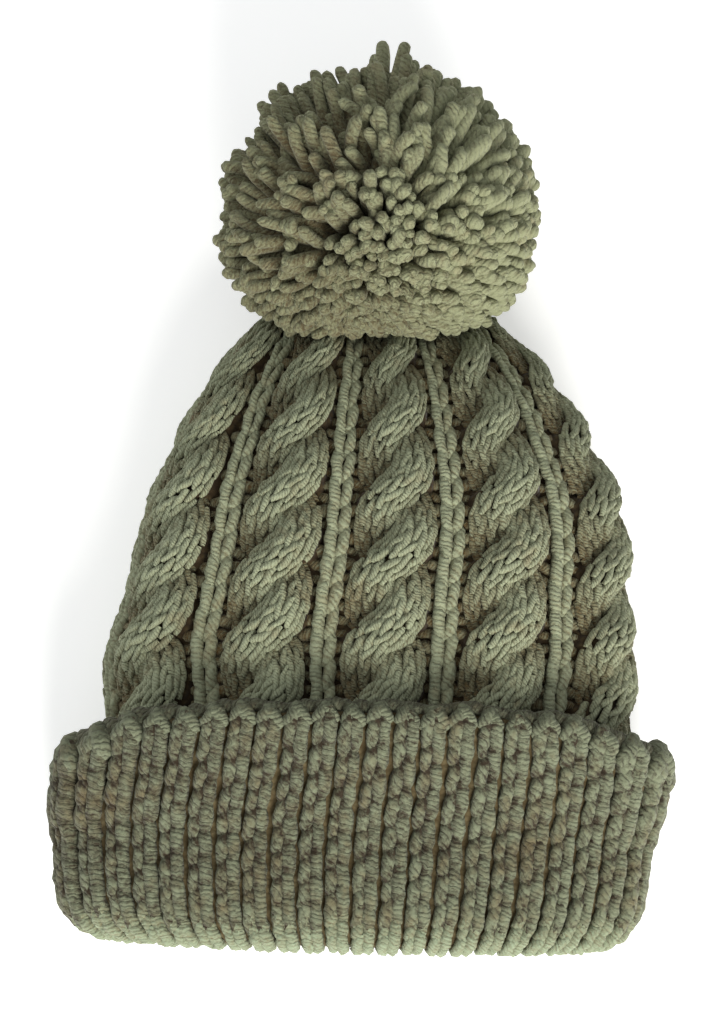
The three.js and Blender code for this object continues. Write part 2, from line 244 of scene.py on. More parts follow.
# The knit rib between two cables: its height in millimetres and its half width as a share of the repeat
RIB_LIFT = 3.4
RIB_HALF = 0.12

# Legs are this much flatter where the hat lies on them, and cover a repeat of this width at full size
UNDER_FACING = -0.5
UNDER_THICKNESS = 0.6
CABLE_REPEAT = 41
PANEL_REPEAT = 42


def strand_phase(y, strand):
    return np.pi * ((y - FIRST_CROSSING) / CROSSING_SPACING + strand)


def strand_across(y, strand):
    phase = strand_phase(y, strand)
    wave = np.cos(phase) - SWING_SHARPNESS * np.cos(3 * phase)
    return -STRAND_SWING * wave / (1 - SWING_SHARPNESS)


def strand_lift(y, strand):
    front = (1 + np.sin(strand_phase(y, strand) - LIFT_DELAY)) / 2
    return BEHIND_LIFT + (FRONT_LIFT - BEHIND_LIFT) * front ** 0.8


def crown_share(repeat, across, y):
    return (repeat + across) / CABLE_COUNT + CABLE_OFFSET / loop_total(y)


def cable_height(across, y):
    """Height of the cables over the smooth surface, for the cloth that carries the stitches."""
    repeat_width = loop_total(y) / CABLE_COUNT
    height = np.zeros(np.broadcast(across, y).shape)
    for strand in (0, 1):
        slope = (strand_across(y + 0.5, strand) - strand_across(y - 0.5, strand)) * repeat_width
        lean = 1 / np.sqrt(1 + slope ** 2)
        distance = np.abs(across - strand_across(y, strand)) * lean / STRAND_HALF
        profile = np.sqrt(np.maximum(1 - distance ** 2.2, 0))
        height = np.maximum(height, strand_lift(y, strand) * profile)
    return height


def rib_height(across):
    """Height of the knit rib between two cables."""
    to_rib = 0.5 - np.abs(across)
    return RIB_LIFT * np.sqrt(np.maximum(1 - (to_rib / RIB_HALF) ** 2, 0))


# Materials

def linear(hex_colour):
    """A linear colour from an sRGB hex value."""
    channels = [(hex_colour >> shift & 255) / 255 for shift in (16, 8, 0)]
    lin = [c / 12.92 if c <= 0.04045 else ((c + 0.055) / 1.055) ** 2.4 for c in channels]
    return (*lin, 1.0)


def join(tree, node, **inputs):
    """Gives each input, by name or number, a value, a socket or a node's first output."""
    for key, value in inputs.items():
        name = key.lstrip("_")
        socket = node.inputs[int(name)] if name.isdigit() else node.inputs[name.replace("_", " ")]
        if isinstance(value, bpy.types.Node):
            value = value.outputs[0]
        if isinstance(value, bpy.types.NodeSocket):
            tree.links.new(value, socket)
        else:
            socket.default_value = value


def add_node(tree, kind, settings=None, **inputs):
    """Adds a node with its settings and links."""
    node = tree.nodes.new(kind)
    for name, value in (settings or {}).items():
        setattr(node, name, value)
    join(tree, node, **inputs)
    return node


def new_material(name, **inputs):
    """A material with its shader's inputs set, and what adds nodes and links to it."""
    material = bpy.data.materials.new(name)
    material.use_nodes = True
    tree = material.node_tree
    shader = tree.nodes["Principled BSDF"]
    join(tree, shader, **inputs)
    return material, partial(add_node, tree), partial(join, tree, shader)


MATH = "ShaderNodeMath"
VECTOR_MATH = "ShaderNodeVectorMath"
MIX = "ShaderNodeMix"
NOISE = "ShaderNodeTexNoise"
BUMP = "ShaderNodeBump"
ADD = {"operation": "ADD"}
SUBTRACT = {"operation": "SUBTRACT"}
MULTIPLY = {"operation": "MULTIPLY"}
DIVIDE = {"operation": "DIVIDE"}
POWER = {"operation": "POWER"}
MULTIPLY_ADD = {"operation": "MULTIPLY_ADD"}
CLAMPED_ADD = {"operation": "MULTIPLY_ADD", "use_clamp": True}
ABSOLUTE = {"operation": "ABSOLUTE"}
COLOURS = {"data_type": "RGBA"}
SOLID = {"noise_dimensions": "3D"}
NORMALIZE = {"operation": "NORMALIZE"}
SCALE = {"operation": "SCALE"}
ROUND = {"mode": "RADIUS"}
NUMBER = {"data_type": "FLOAT"}
VECTOR = {"data_type": "FLOAT_VECTOR"}
ON_POINTS = {"data_type": "FLOAT_VECTOR", "domain": "POINT"}


# Sizes of the wool's patterns, in millimetres: the yarn over which a leg sinks out of the light, the distance
# between wavers of the plies, the run of the fibres, the width of brown patches and the grain of the cloth.
# Real fibres and grain are too fine for the render, so they are drawn as coarse as they need to show.
DIP_RUN = 2.8
WAVER = 10 / 3
FIBRE_RUN = 25 / 6
WIDE_PATCH = 100 / 3
SMALL_PATCH = 100 / 21
CLOTH_GRAIN = 10 / 9

# Distance between the little lumps of the yarn itself, in millimetres
LUMP_SIZE = 100 / 33


def per(millimetres):
    """How many of a pattern's cells there are in a metre."""
    return 1 / (millimetres * MM)


def wool_material(name, yarn, plies, lay_pitch, ply_depth, ply_shade, underside_shade, brown, mottle=1.2,
                  dip=None, fuzz_size=1.05):
    """Worsted-spun wool: a soft matte yarn of a few plies, whose turns show as slanting strokes with brown
    lines between them as painted shade, and with painted shade on the yarn's underside. lay_pitch is the
    length of yarn for one turn of the plies, in millimetres. dip says how far from a leg's middle it is
    painted darker as the shade of a hole between stitches, how deep, and on which side the darkness opens."""
    face, worn, painted_shade_brown = [(*colour, 1.0) for colour in yarn]
    material, add, paint = new_material(name, Roughness=0.92, Specular_IOR_Level=0.2, Sheen_Weight=0.2,
                                        Sheen_Roughness=0.6, Sheen_Tint=linear(0xd4d6c2))
    place = add("ShaderNodeTexCoord").outputs["Object"]

    # The plies: how far round the yarn a place is, plus how far along
    yarn_place = add("ShaderNodeAttribute", {"attribute_name": "yarn"}).outputs["Vector"]
    shade = add("ShaderNodeAttribute", {"attribute_name": "shade"}).outputs["Fac"]
    parts = add("ShaderNodeSeparateXYZ", _0=yarn_place)
    angle = add(MATH, {"operation": "ARCTAN2"}, _0=parts.outputs[1], _1=parts.outputs[0])
    turns = add(MATH, DIVIDE, _0=angle, _1=2 * math.pi)
    waver = add(NOISE, SOLID, Vector=place, Scale=per(WAVER), Detail=2.0)
    drift = add(MATH, MULTIPLY_ADD, _0=waver, _1=1.4 / plies, _2=turns)
    turned = add(MATH, MULTIPLY_ADD, _0=parts.outputs[2], _1=per(lay_pitch), _2=drift)
    phase = add(MATH, MULTIPLY, _0=turned, _1=plies * math.pi)
    wave = add(MATH, {"operation": "SINE"}, _0=phase)
    ridge = add(MATH, ABSOLUTE, _0=wave)

    # Loose fibres that run with the plies, drawn about 0.7 mm wide so that they show, and a finer fuzz
    around = add(MATH, MULTIPLY, _0=turned, _1=7.0)
    along = add(MATH, MULTIPLY, _0=parts.outputs[2], _1=per(FIBRE_RUN))
    fibre_place = add("ShaderNodeCombineXYZ", X=around, Y=along, Z=shade)
    fibres = add(NOISE, SOLID, Vector=fibre_place, Scale=1.6, Detail=3.0, Roughness=0.7)
    fuzz = add(NOISE, SOLID, Vector=place, Scale=per(fuzz_size), Detail=3.0, Roughness=0.7)
    ply_bump = add(BUMP, Strength=0.8, Distance=ply_depth * MM, Height=ridge)
    fibre_bump = add(BUMP, Strength=0.7, Distance=0.45 * MM, Height=fibres, Normal=ply_bump)
    fuzz_bump = add(BUMP, Strength=0.7, Distance=0.5 * MM, Height=fuzz, Normal=fibre_bump)

    # Dyed wool is uneven: brown patches a few millimetres and a few centimetres wide
    wide = add(NOISE, SOLID, Vector=place, Scale=per(WIDE_PATCH), Detail=2.0)
    small = add(NOISE, SOLID, Vector=place, Scale=per(SMALL_PATCH), Detail=2.0)
    patches = add(MATH, ADD, _0=wide, _1=small)
    patch = add(MATH, CLAMPED_ADD, _0=patches, _1=2.2, _2=brown - 2.5)
    skin = add(MIX, COLOURS, _0=patch, _6=face, _7=worn).outputs[2]

    # Painted shade: how open a place is, drawn darker under the yarn, between the plies and where the shade
    # says so
    top = add(MATH, CLAMPED_ADD, _0=parts.outputs[0], _1=underside_shade, _2=1 - underside_shade)
    open_share = add(MATH, MULTIPLY, _0=shade, _1=top)
    ply_share = add(MATH, MULTIPLY_ADD, _0=ridge, _1=ply_shade, _2=1.05 - ply_shade * 0.75)
    lit = add(MATH, MULTIPLY, _0=open_share, _1=ply_share)
    # Painted shade of the holes between stitches: darker towards a leg's ends, on one side
    if dip:
        start, depth, side = dip
        away = add(MATH, ABSOLUTE, _0=parts.outputs[2])
        end_ramp = add(MATH, CLAMPED_ADD, _0=away, _1=per(DIP_RUN), _2=-start / DIP_RUN)
        beside = add(MATH, MULTIPLY_ADD, _0=parts.outputs[1], _1=side * 0.5, _2=0.5)
        hole_shade = add(MATH, MULTIPLY, _0=end_ramp, _1=beside)
        lit = add(MATH, MULTIPLY_ADD, _0=hole_shade, _1=-depth, _2=lit)
    grain = add(MATH, ADD, _0=fibres, _1=fuzz)
    fleck = add(MATH, MULTIPLY_ADD, _0=grain, _1=mottle, _2=-mottle)
    light = add(MATH, {"operation": "ADD", "use_clamp": True}, _0=lit, _1=fleck)
    colour = add(MIX, COLOURS, _0=light, _6=painted_shade_brown, _7=skin).outputs[2]
    paint(Base_Color=colour, Normal=fuzz_bump)
    return material


def backing_material(name, face, painted_shade_brown, cell):
    """The same wool as the cloth between the stitches: dark, soft and bumped in cells, in millimetres, and
    painted darker towards each cell's edge as shade.
    """
    material, add, paint = new_material(name, Roughness=0.95, Specular_IOR_Level=0.1, Sheen_Weight=0.2)
    place = add("ShaderNodeTexCoord").outputs["Object"]
    cells = add("ShaderNodeTexVoronoi", Vector=place, Scale=per(cell)).outputs["Distance"]
    grain = add(NOISE, Vector=place, Scale=per(CLOTH_GRAIN), Detail=3.0)
    height = add(MATH, {"operation": "SUBTRACT", "use_clamp": True}, _0=1.0, _1=cells)
    cell_bump = add(BUMP, Strength=1.0, Distance=0.8 * MM, Height=height)
    bump = add(BUMP, Strength=0.5, Distance=0.3 * MM, Height=grain, Normal=cell_bump)
    share = add(MATH, POWER, _0=height, _1=2.0)
    colour = add(MIX, COLOURS, _0=share, _6=(*painted_shade_brown, 1.0), _7=(*face, 1.0)).outputs[2]
    paint(Base_Color=colour, Normal=bump)
    return material


# Geometry Nodes trees

SOCKETS = {float: "NodeSocketFloat", int: "NodeSocketInt", type(None): "NodeSocketMaterial"}


def new_tree(name, **sizes):
    """A geometry tree with a Geometry in and out and the named inputs and defaults given."""
    tree = bpy.data.node_groups.new(name, "GeometryNodeTree")
    tree.is_modifier = True
    tree.interface.new_socket("Geometry", in_out="INPUT", socket_type="NodeSocketGeometry")
    for label, default in sizes.items():
        socket = tree.interface.new_socket(label, in_out="INPUT", socket_type=SOCKETS[type(default)])
        if default is not None:
            socket.default_value = default
    tree.interface.new_socket("Geometry", in_out="OUTPUT", socket_type="NodeSocketGeometry")
    source = tree.nodes.new("NodeGroupInput").outputs
    out = tree.nodes.new("NodeGroupOutput")
    return tree, partial(add_node, tree), source, out


def finish_tree(tree, add, source, out, geometry):
    """Makes the yarn a little lumpy, and sets its shading and material."""
    realized = add("GeometryNodeRealizeInstances", Geometry=geometry)
    lumps = add(NOISE, SOLID, Scale=per(LUMP_SIZE), Detail=1.0).outputs["Color"]
    centred = add(VECTOR_MATH, SUBTRACT, _0=lumps, _1=(0.5, 0.5, 0.5))
    push = add(VECTOR_MATH, SCALE, _0=centred, Scale=source["Lumps"])
    uneven = add("GeometryNodeSetPosition", Geometry=realized, Offset=push)
    smooth = add("GeometryNodeSetShadeSmooth", Geometry=uneven)
    join(tree, out, _0=add("GeometryNodeSetMaterial", Geometry=smooth, Material=source["Material"]))
    return tree


def stitch_tree():
    """One leg of a knitted loop, laid on every point: an arched length of yarn whose ends dip into the cloth.
    Its radius is full in the middle and drawn in a little at its two ends."""
    tree, add, source, out = new_tree(
        "knit_stitch_legs", Length=0.0068, Thickness=0.003, Arch=0.0012, Bow=0.0, Fullness=0.3,
        Looseness=0.08, Lumps=0.0022, Sides=7, Steps=5, Seed=3, Material=None)
    half = add(MATH, MULTIPLY, _0=source["Length"], _1=0.5)
    back = add(MATH, MULTIPLY, _0=source["Length"], _1=-0.5)
    dip = add(MATH, MULTIPLY, _0=source["Arch"], _1=-1.0)
    inward = add(MATH, MULTIPLY, _0=source["Bow"], _1=-1.0)
    start = add("ShaderNodeCombineXYZ", X=inward, Y=back, Z=dip)
    middle = add("ShaderNodeCombineXYZ", X=source["Bow"], Z=source["Arch"])
    end = add("ShaderNodeCombineXYZ", X=inward, Y=half, Z=dip)
    path = add("GeometryNodeCurveQuadraticBezier", Resolution=source["Steps"], Start=start,
               Middle=middle, End=end)
    keep = tree.nodes.new("GeometryNodeCaptureAttribute")
    keep.capture_items.new("VECTOR", "Centre")
    join(tree, keep, _0=path, _1=add("GeometryNodeInputPosition"))

    # The radius share, from how far a place is from the leg's middle
    factor = add("GeometryNodeSplineParameter").outputs["Factor"]
    swing = add(MATH, MULTIPLY_ADD, _0=factor, _1=2.0, _2=-1.0)
    away = add(MATH, ABSOLUTE, _0=swing)
    drop = add(MATH, POWER, _0=away, _1=3.4)
    left = add(MATH, SUBTRACT, _0=1.0, _1=drop)
    least = add(MATH, {"operation": "MAXIMUM"}, _0=left, _1=source["Fullness"])
    share = add(MATH, POWER, _0=least, _1=0.5)
    radius = add(MATH, MULTIPLY, _0=source["Thickness"], _1=0.5)
    ring = add("GeometryNodeCurvePrimitiveCircle", ROUND, Resolution=source["Sides"], Radius=radius)
    tube = add("GeometryNodeCurveToMesh", Curve=keep, Profile_Curve=ring, Scale=share, Fill_Caps=True)

    # Where a place is on the yarn: the direction out of it, and the distance along
    place = add("GeometryNodeInputPosition")
    offset = add(VECTOR_MATH, SUBTRACT, _0=place, _1=keep.outputs[1])
    out_of = add(VECTOR_MATH, NORMALIZE, _0=offset)
    parts = add("ShaderNodeSeparateXYZ", _0=out_of)
    here = add("ShaderNodeSeparateXYZ", _0=place)
    yarn = add("ShaderNodeCombineXYZ", X=parts.outputs[2], Y=parts.outputs[0], Z=here.outputs[1])
    leg = add("GeometryNodeStoreNamedAttribute", ON_POINTS, Geometry=tube, Name="yarn", Value=yarn)

    # One leg on every point, turned and sized as the point says, a little uneven
    points = add("GeometryNodeMeshToPoints", Mesh=source["Geometry"])
    spread = add(MATH, ADD, _0=1.0, _1=source["Looseness"])
    tight = add(MATH, SUBTRACT, _0=1.0, _1=source["Looseness"])
    chance = add("FunctionNodeRandomValue", NUMBER, _2=tight, _3=spread, Seed=source["Seed"])
    sizes = add("GeometryNodeInputNamedAttribute", VECTOR, Name="size")
    turns = add("GeometryNodeInputNamedAttribute", {"data_type": "QUATERNION"}, Name="turn")
    size = add(VECTOR_MATH, SCALE, _0=sizes, Scale=chance.outputs[1])
    laid = add("GeometryNodeInstanceOnPoints", Points=points, Instance=leg, Rotation=turns, Scale=size)
    return finish_tree(tree, add, source, out, laid)


def strand_tree():
    """Cut lengths of yarn along the paths that it is given, rounded off at their tips."""
    tree, add, source, out = new_tree(
        "pompom_strands", Thickness=0.0047, Lumps=0.0022, Sides=7, Material=None)
    path = add("GeometryNodeMeshToCurve", Mesh=source["Geometry"])
    along = add("GeometryNodeInputNamedAttribute", NUMBER, Name="along")
    thick = add("GeometryNodeInputNamedAttribute", NUMBER, Name="thick")
    keep = tree.nodes.new("GeometryNodeCaptureAttribute")
    keep.capture_items.new("FLOAT", "Along")
    join(tree, keep, _0=path, _1=along)
    radius = add(MATH, MULTIPLY, _0=source["Thickness"], _1=0.5)
    ring = add("GeometryNodeCurvePrimitiveCircle", ROUND, Resolution=source["Sides"], Radius=radius)
    place = add("GeometryNodeInputPosition")
    around = add(VECTOR_MATH, NORMALIZE, _0=place)
    ring_keep = tree.nodes.new("GeometryNodeCaptureAttribute")
    ring_keep.capture_items.new("VECTOR", "Around")
    join(tree, ring_keep, _0=ring, _1=around)
    tube = add("GeometryNodeCurveToMesh", Curve=keep, Profile_Curve=ring_keep, Scale=thick, Fill_Caps=True)
    parts = add("ShaderNodeSeparateXYZ", _0=ring_keep.outputs[1])
    yarn = add("ShaderNodeCombineXYZ", X=parts.outputs[0], Y=parts.outputs[1], Z=keep.outputs[1])
    stored = add("GeometryNodeStoreNamedAttribute", ON_POINTS, Geometry=tube, Name="yarn", Value=yarn)
    return finish_tree(tree, add, source, out, stored)


def run_tree(name, carrier, tree, **sizes):
    """Evaluates a tree on a carrier mesh and returns the result as a plain object."""
    base = new_object(name + "_points", carrier)
    modifier = base.modifiers.new("nodes", "NODES")
    modifier.node_group = tree
    for item in tree.interface.items_tree:
        if item.item_type == "SOCKET" and item.in_out == "INPUT" and item.name in sizes:
            modifier[item.identifier] = sizes[item.name]
    graph = bpy.context.evaluated_depsgraph_get()
    mesh = bpy.data.meshes.new_from_object(base.evaluated_get(graph), preserve_all_data_layers=True,
                                           depsgraph=graph)
    bpy.data.objects.remove(base)
    if len(mesh.polygons) == 0:
        raise RuntimeError(f"{name} came out empty")
    mesh.name = name
    return laid_down(name, mesh)


def laid_down(name, mesh):
    """An object of a mesh, flattened where it would reach below the surface that the hat lies on."""
    count = len(mesh.vertices)
    places = np.empty(count * 3, np.float32)
    mesh.vertices.foreach_get("co", places)
    places = places.reshape(-1, 3)
    places[:, 2] = np.maximum(places[:, 2], 0)
    mesh.vertices.foreach_set("co", places.ravel())
    mesh.update()
    return new_object(name, mesh)


def new_object(name, data):
    made = bpy.data.objects.new(name, data)
    bpy.context.scene.collection.objects.link(made)
    return made


def quaternions(side, along, normal):
    """Turns whose X, Y and Z are the three directions given."""
    stack = np.stack([side, along, normal], axis=-1)
    return np.array([Matrix(m.tolist()).to_quaternion()[:] for m in stack])


class Legs:
    """Collects legs of yarn: place, direction, size and shade."""

    def __init__(self):
        self.points = []
        self.turns = []
        self.sizes = []
        self.shades = []

    def add(self, points, along, normal, lean, size, shade):
        """lean turns a leg about the normal, in degrees, its far end towards the left."""
        normal = unit(normal)
        along = unit(along - normal * np.sum(along * normal, axis=-1, keepdims=True))
        side = np.cross(along, normal)
        lean = np.radians(np.broadcast_to(lean, points.shape[:1]))[:, None]
        turned = along * np.cos(lean) - side * np.sin(lean)
        self.points.append(points)
        self.turns.append(quaternions(np.cross(turned, normal), turned, normal))
        self.sizes.append(np.broadcast_to(size, points.shape))
        self.shades.append(np.broadcast_to(shade, points.shape[:1]))

    def mesh(self, name):
        """A mesh of loose points that carries how each leg of yarn is turned, sized and shaded."""
        points = to_frame(np.concatenate(self.points))
        mesh = bpy.data.meshes.new(name)
        mesh.vertices.add(len(points))
        mesh.vertices.foreach_set("co", points.astype(np.float32).ravel())
        for label, kind, field, parts in (
                ("turn", "QUATERNION", "value", self.turns),
                ("size", "FLOAT_VECTOR", "vector", self.sizes),
                ("shade", "FLOAT", "value", self.shades)):
            layer = mesh.attributes.new(label, kind, "POINT")
            layer.data.foreach_set(field, np.concatenate(parts).astype(np.float32).ravel())
        return mesh


def leg_sizes(normal, across, thick):
    """Sizes of legs across, along and through, flatter where the hat lies on them."""
    sizes = np.stack([across, np.ones_like(across), thick], axis=-1)
    sizes[:, 2] *= np.where(normal[:, 2] < UNDER_FACING, UNDER_THICKNESS, 1.0)
    return sizes


def place_piece(piece, node):
    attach(piece, "root")
    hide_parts(node)


def grid_mesh(name, rings, materials, inner=0, closed_rows=False, caps=(None, None)):
    """A smooth skin through rings of points, in millimetres, closed round each ring. The first rings, as many
    as inner says, have the second material."""
    rows, count = len(rings), len(rings[0])
    points = np.concatenate(rings)
    faces = []
    steps = rows if closed_rows else rows - 1
    for r in range(steps):
        here = r * count
        above = ((r + 1) % rows) * count
        for i in range(count):
            j = (i + 1) % count
            faces.append((here + i, here + j, above + j, above + i))
    for cap, row, forward in ((caps[0], 0, True), (caps[1], rows - 1, False)):
        if cap is not None:
            tip = len(points)
            points = np.vstack([points, cap])
            for i in range(count):
                a, b = row * count + i, row * count + (i + 1) % count
                faces.append((tip, b, a) if forward else (tip, a, b))
    mesh = bpy.data.meshes.new(name)
    mesh.from_pydata(to_frame(points).tolist(), [], faces)
    mesh.shade_smooth()
    for material in materials:
        mesh.materials.append(material)
    ring_of_face = np.minimum(np.arange(len(faces)) // count, rows)
    if caps[0] is not None:
        ring_of_face[steps * count:(steps + 1) * count] = 0
    mesh.polygons.foreach_set("material_index", (ring_of_face < inner).astype(np.int32))
    return laid_down(name, mesh)


# Crown

# Distances from the fold at which the cloth and each kind of stitch begin, all hidden by the cuff, and end
CROWN_START = 60.4
CABLE_START = 64.6
PURL_START = 66.1
RIB_START = 68
CROWN_STITCH_END = 236

# Eight chains of legs lie over a strand, each leg leaning to its side and sunk a little into the cloth
CHAINS = np.arange(-3.5, 4)
CHAIN_LEAN = 14
LEG_SINK = 0.8

# Distance from the middle of a knit rib to its two chains, in millimetres
RIB_CHAIN_ASIDE = 2.35


def strand_frame(repeat, strand, y):
    """Centre of a strand on the smooth surface, with its direction, side and normal."""
    def centre(at):
        return ground(crown_share(repeat, strand_across(at, strand), at), at)
    middle = centre(y)
    along = unit(centre(y + 0.8) - centre(y - 0.8))
    normal = ground_normal(crown_share(repeat, strand_across(y, strand), y), y)
    along = unit(along - normal * np.sum(along * normal, axis=-1, keepdims=True))
    return middle, along, np.cross(along, normal), normal


def cable_legs(sizes, strand):
    """The legs of the wales on one strand of every cable, as eight chains side by side over its back."""
    legs = Legs()
    rows = np.arange(CABLE_START, CROWN_STITCH_END, sizes.row_pitch / MM)
    chain_turn = sizes.wale_turn / 2
    rng = np.random.default_rng(21 + strand)
    for repeat in range(CABLE_COUNT):
        for chain in CHAINS:
            hand = 1 if chain % 2 == 0.5 else -1
            lie = rows + (0.25 * hand + rng.uniform(-0.12, 0.12, len(rows))) * sizes.row_pitch / MM
            middle, along, side, normal = strand_frame(repeat, strand, lie)
            width = loop_total(lie) / CABLE_COUNT
            half = STRAND_HALF * width - LEG_SINK
            lift = strand_lift(lie, strand) * relief_share(lie) * unpressed(normal[:, 2])
            lift = np.maximum(lift - LEG_SINK, 0.4)
            squeeze = np.clip(width / CABLE_REPEAT, 0.55, 1.1)
            theta = chain * chain_turn
            aside, up = math.sin(theta), math.cos(theta)
            place = middle + side * (half * aside)[:, None] + normal * (lift * up)[:, None]
            out = side * (aside / half)[:, None] + normal * (up / lift)[:, None]
            size = leg_sizes(normal, squeeze, squeeze * 0.5 + 0.5)
            # Painted shade: legs darker where the strand passes behind the other one and on the strand's
            # sides. Painted light: the crown drawn a little lighter on the left and darker on the right.
            front = np.clip(0.68 + 0.5 * np.sin(strand_phase(lie, strand) - 0.3), 0.2, 1)
            painted_left_light = 1.04 - 0.07 * (middle[:, 0] - BODY_LEAN) / (BODY_WIDTH / 2)
            shade = (0.7 + 0.3 * up ** 2) * front * painted_left_light * rng.uniform(0.92, 1.04, len(lie))
            legs.add(place, along, out, -hand * CHAIN_LEAN * (1 - abs(chain) / 4.5), size, shade)
    return legs


def panel_place(repeat, across, y):
    """A place between the cables, with its normal and how much narrower the panel is there."""
    share = crown_share(repeat, across, y)
    squeeze = np.clip(loop_total(y) / CABLE_COUNT / PANEL_REPEAT, 0.5, 1.1)
    return ground(share, y), ground_normal(share, y), squeeze


def panel_rib_legs(sizes, hand):
    """One chain of the knit rib between two cables: a smooth ridge on the left, broken loops on the right."""
    legs = Legs()
    rows = np.arange(RIB_START, CROWN_STITCH_END, sizes.rib_pitch / MM)
    for repeat in range(CABLE_COUNT):
        middle, normal, squeeze = panel_place(repeat, 0.5, rows)
        along = unit(panel_place(repeat, 0.5, rows + 1)[0] - panel_place(repeat, 0.5, rows - 1)[0])
        side = np.cross(along, normal)
        lift = RIB_LIFT * relief_share(rows) * unpressed(normal[:, 2]) - (1.5 if hand < 0 else 1.9)
        place = middle + side * (hand * RIB_CHAIN_ASIDE * squeeze)[:, None] + normal * lift[:, None]
        out = normal + side * (hand * 0.3)
        size = leg_sizes(normal, squeeze, squeeze * 0.5 + 0.5)
        lean, shade = (4, 0.92) if hand < 0 else (-8, 0.8)
        legs.add(place, along, out, lean, size, shade)
    return legs


def purl_legs(sizes):
    """Purl bumps in the valley on each side of a cable, as short loops across it."""
    legs = Legs()
    rows = np.arange(PURL_START, CROWN_STITCH_END, sizes.row_pitch / MM)
    rng = np.random.default_rng(23)
    for repeat in range(CABLE_COUNT):
        for across in (-0.365, 0.365):
            middle, normal, squeeze = panel_place(repeat, across, rows)
            along = unit(panel_place(repeat, across, rows + 1)[0] - middle)
            size = np.stack([np.ones_like(squeeze), squeeze, np.ones_like(squeeze)], axis=-1)
            lean = 84 + rng.uniform(-26, 26, len(rows))
            drop = rng.uniform(0.3, 1.7, len(rows))
            # Painted shade: the bumps in the valley drawn dark
            shade = rng.uniform(0.1, 0.36, len(rows))
            legs.add(middle - normal * drop[:, None], along, normal, lean, size, shade)
    return legs


def crown_backing(materials):
    """The cloth under the stitches and the plain purl inside of the crown, as one closed shell."""
    rings = []
    shares = 360
    place = np.arange(shares) / shares
    outer_rows = list(np.arange(CROWN_START, 240, 2.0)) + [241.5, 244, 246, 247.3]
    across = (place * CABLE_COUNT + 0.5) % 1 - 0.5
    for y in outer_rows:
        share = place + CABLE_OFFSET / loop_total(y)
        normal = ground_normal(share, y)
        height = np.maximum(cable_height(across, y), rib_height(across))
        height = np.maximum(height * relief_share(y) * unpressed(normal[:, 2]) - 3.0, -0.8)
        rings.append(ground(share, y) + normal * height[:, None])
    inner = []
    for y in np.arange(CROWN_START, 232, 5.0):
        share = place + CABLE_OFFSET / loop_total(y)
        ring = ground(share, y) - ground_normal(share, y) * CROWN_WALL
        ring[:, 2] = np.maximum(ring[:, 2], 4.0)
        inner.append(ring)
    tip = np.array([BODY_LEAN * 0.75, BODY_LENGTH - 0.2, BODY_HEIGHT * 0.27])
    inner_tip = inner[-1].mean(axis=0) + np.array([0, 2.0, 0])
    rings = inner[::-1] + rings
    return grid_mesh("crown_cloth", rings, materials, inner=len(inner) - 1, caps=(inner_tip, tip))


# Cuff

FOLD_RADIUS = BAND_LAYER + LAYER_GAP / 2
QUARTER_FOLD = FOLD_RADIUS * math.pi / 2
CUFF_RUN = CUFF_DEPTH - FOLD_RADIUS + QUARTER_FOLD
FRONT_RIB_WIDTH = 10.2


def cuff_surface(share, travel, height=0.0):
    """A place on the band: travel is the distance from the fold's lip, plus on the outside, minus inside."""
    share, travel = np.broadcast_arrays(np.asarray(share, float), np.asarray(travel, float))
    bend = np.clip(travel / FOLD_RADIUS, -math.pi / 2, math.pi / 2)
    past = np.maximum(np.abs(travel) - QUARTER_FOLD, 0)
    y = FOLD_RADIUS * (1 - np.cos(bend)) + past
    out = LAYER_GAP / 2 + FOLD_RADIUS * np.sin(bend)
    outside = travel > 0
    up = np.where(outside, np.clip((y - 42) / 37, 0, 1), 0)
    out = out + CUFF_CLEARANCE * up
    drop = np.where(outside, np.interp(y, [11.6, 42, 79], [0, 0.5, 1]), 0)
    facing = loop_normal(share, y)
    aside = np.clip(np.abs(facing[..., 0]) / 0.75, 0, 1)
    aside = CUFF_SIDE_DROP * aside ** 2 * (3 - 2 * aside)
    across = CUFF_EDGE_SLOPE * ground(share, y)[..., 0] / BODY_WIDTH
    fall = drop * (CUFF_EDGE_DROP * (1 - facing[..., 2]) / 2 + aside + across)
    point = ground(share, y - fall)
    normal = loop_normal(share, y - fall)
    front = (1 + normal[..., 2]) / 2
    flare = np.where(outside, np.interp(y, [11.6, 42, 79], [0, 0.2, 1]), 0)
    pressed = unpressed(normal[..., 2])
    offset = out + up * CABLE_HEIGHT * pressed + flare * CUFF_FLARE * front + height * pressed
    place = point + normal * offset[..., None]
    z = np.maximum(place[..., 2], 0)
    tuck = LIP_OVERHANG * (1 - np.clip(z / BODY_HEIGHT, 0, 1)) * (1 - np.clip(y / BAND_DEPTH, 0, 1))
    skew = FOLD_SLOPE * point[..., 0] / BODY_WIDTH * (1 - np.clip(y / BAND_DEPTH, 0, 1))
    place[..., 1] = y + tuck - fall - skew
    place[..., 2] = z
    return place


def loop_normal(share, y):
    around = ground(share + 0.003, y) - ground(share - 0.003, y)
    return unit(np.stack([-around[..., 2], np.zeros_like(around[..., 0]), around[..., 0]], axis=-1))


def cuff_frame(share, travel, height):
    place = cuff_surface(share, travel, height)
    along = unit(cuff_surface(share, travel + 1.0, height) - cuff_surface(share, travel - 1.0, height))
    around = cuff_surface(share + 0.003, travel, height) - cuff_surface(share - 0.003, travel, height)
    return place, along, unit(np.cross(around, along))


def cuff_spread(share, travel):
    """How much wider the ribs are here than on the front, because the band stands off where it turns."""
    half = 0.5 / RIB_COUNT
    width = np.linalg.norm(cuff_surface(share + half, travel) - cuff_surface(share - half, travel), axis=-1)
    return np.clip(width / FRONT_RIB_WIDTH, 0.9, 1.75)


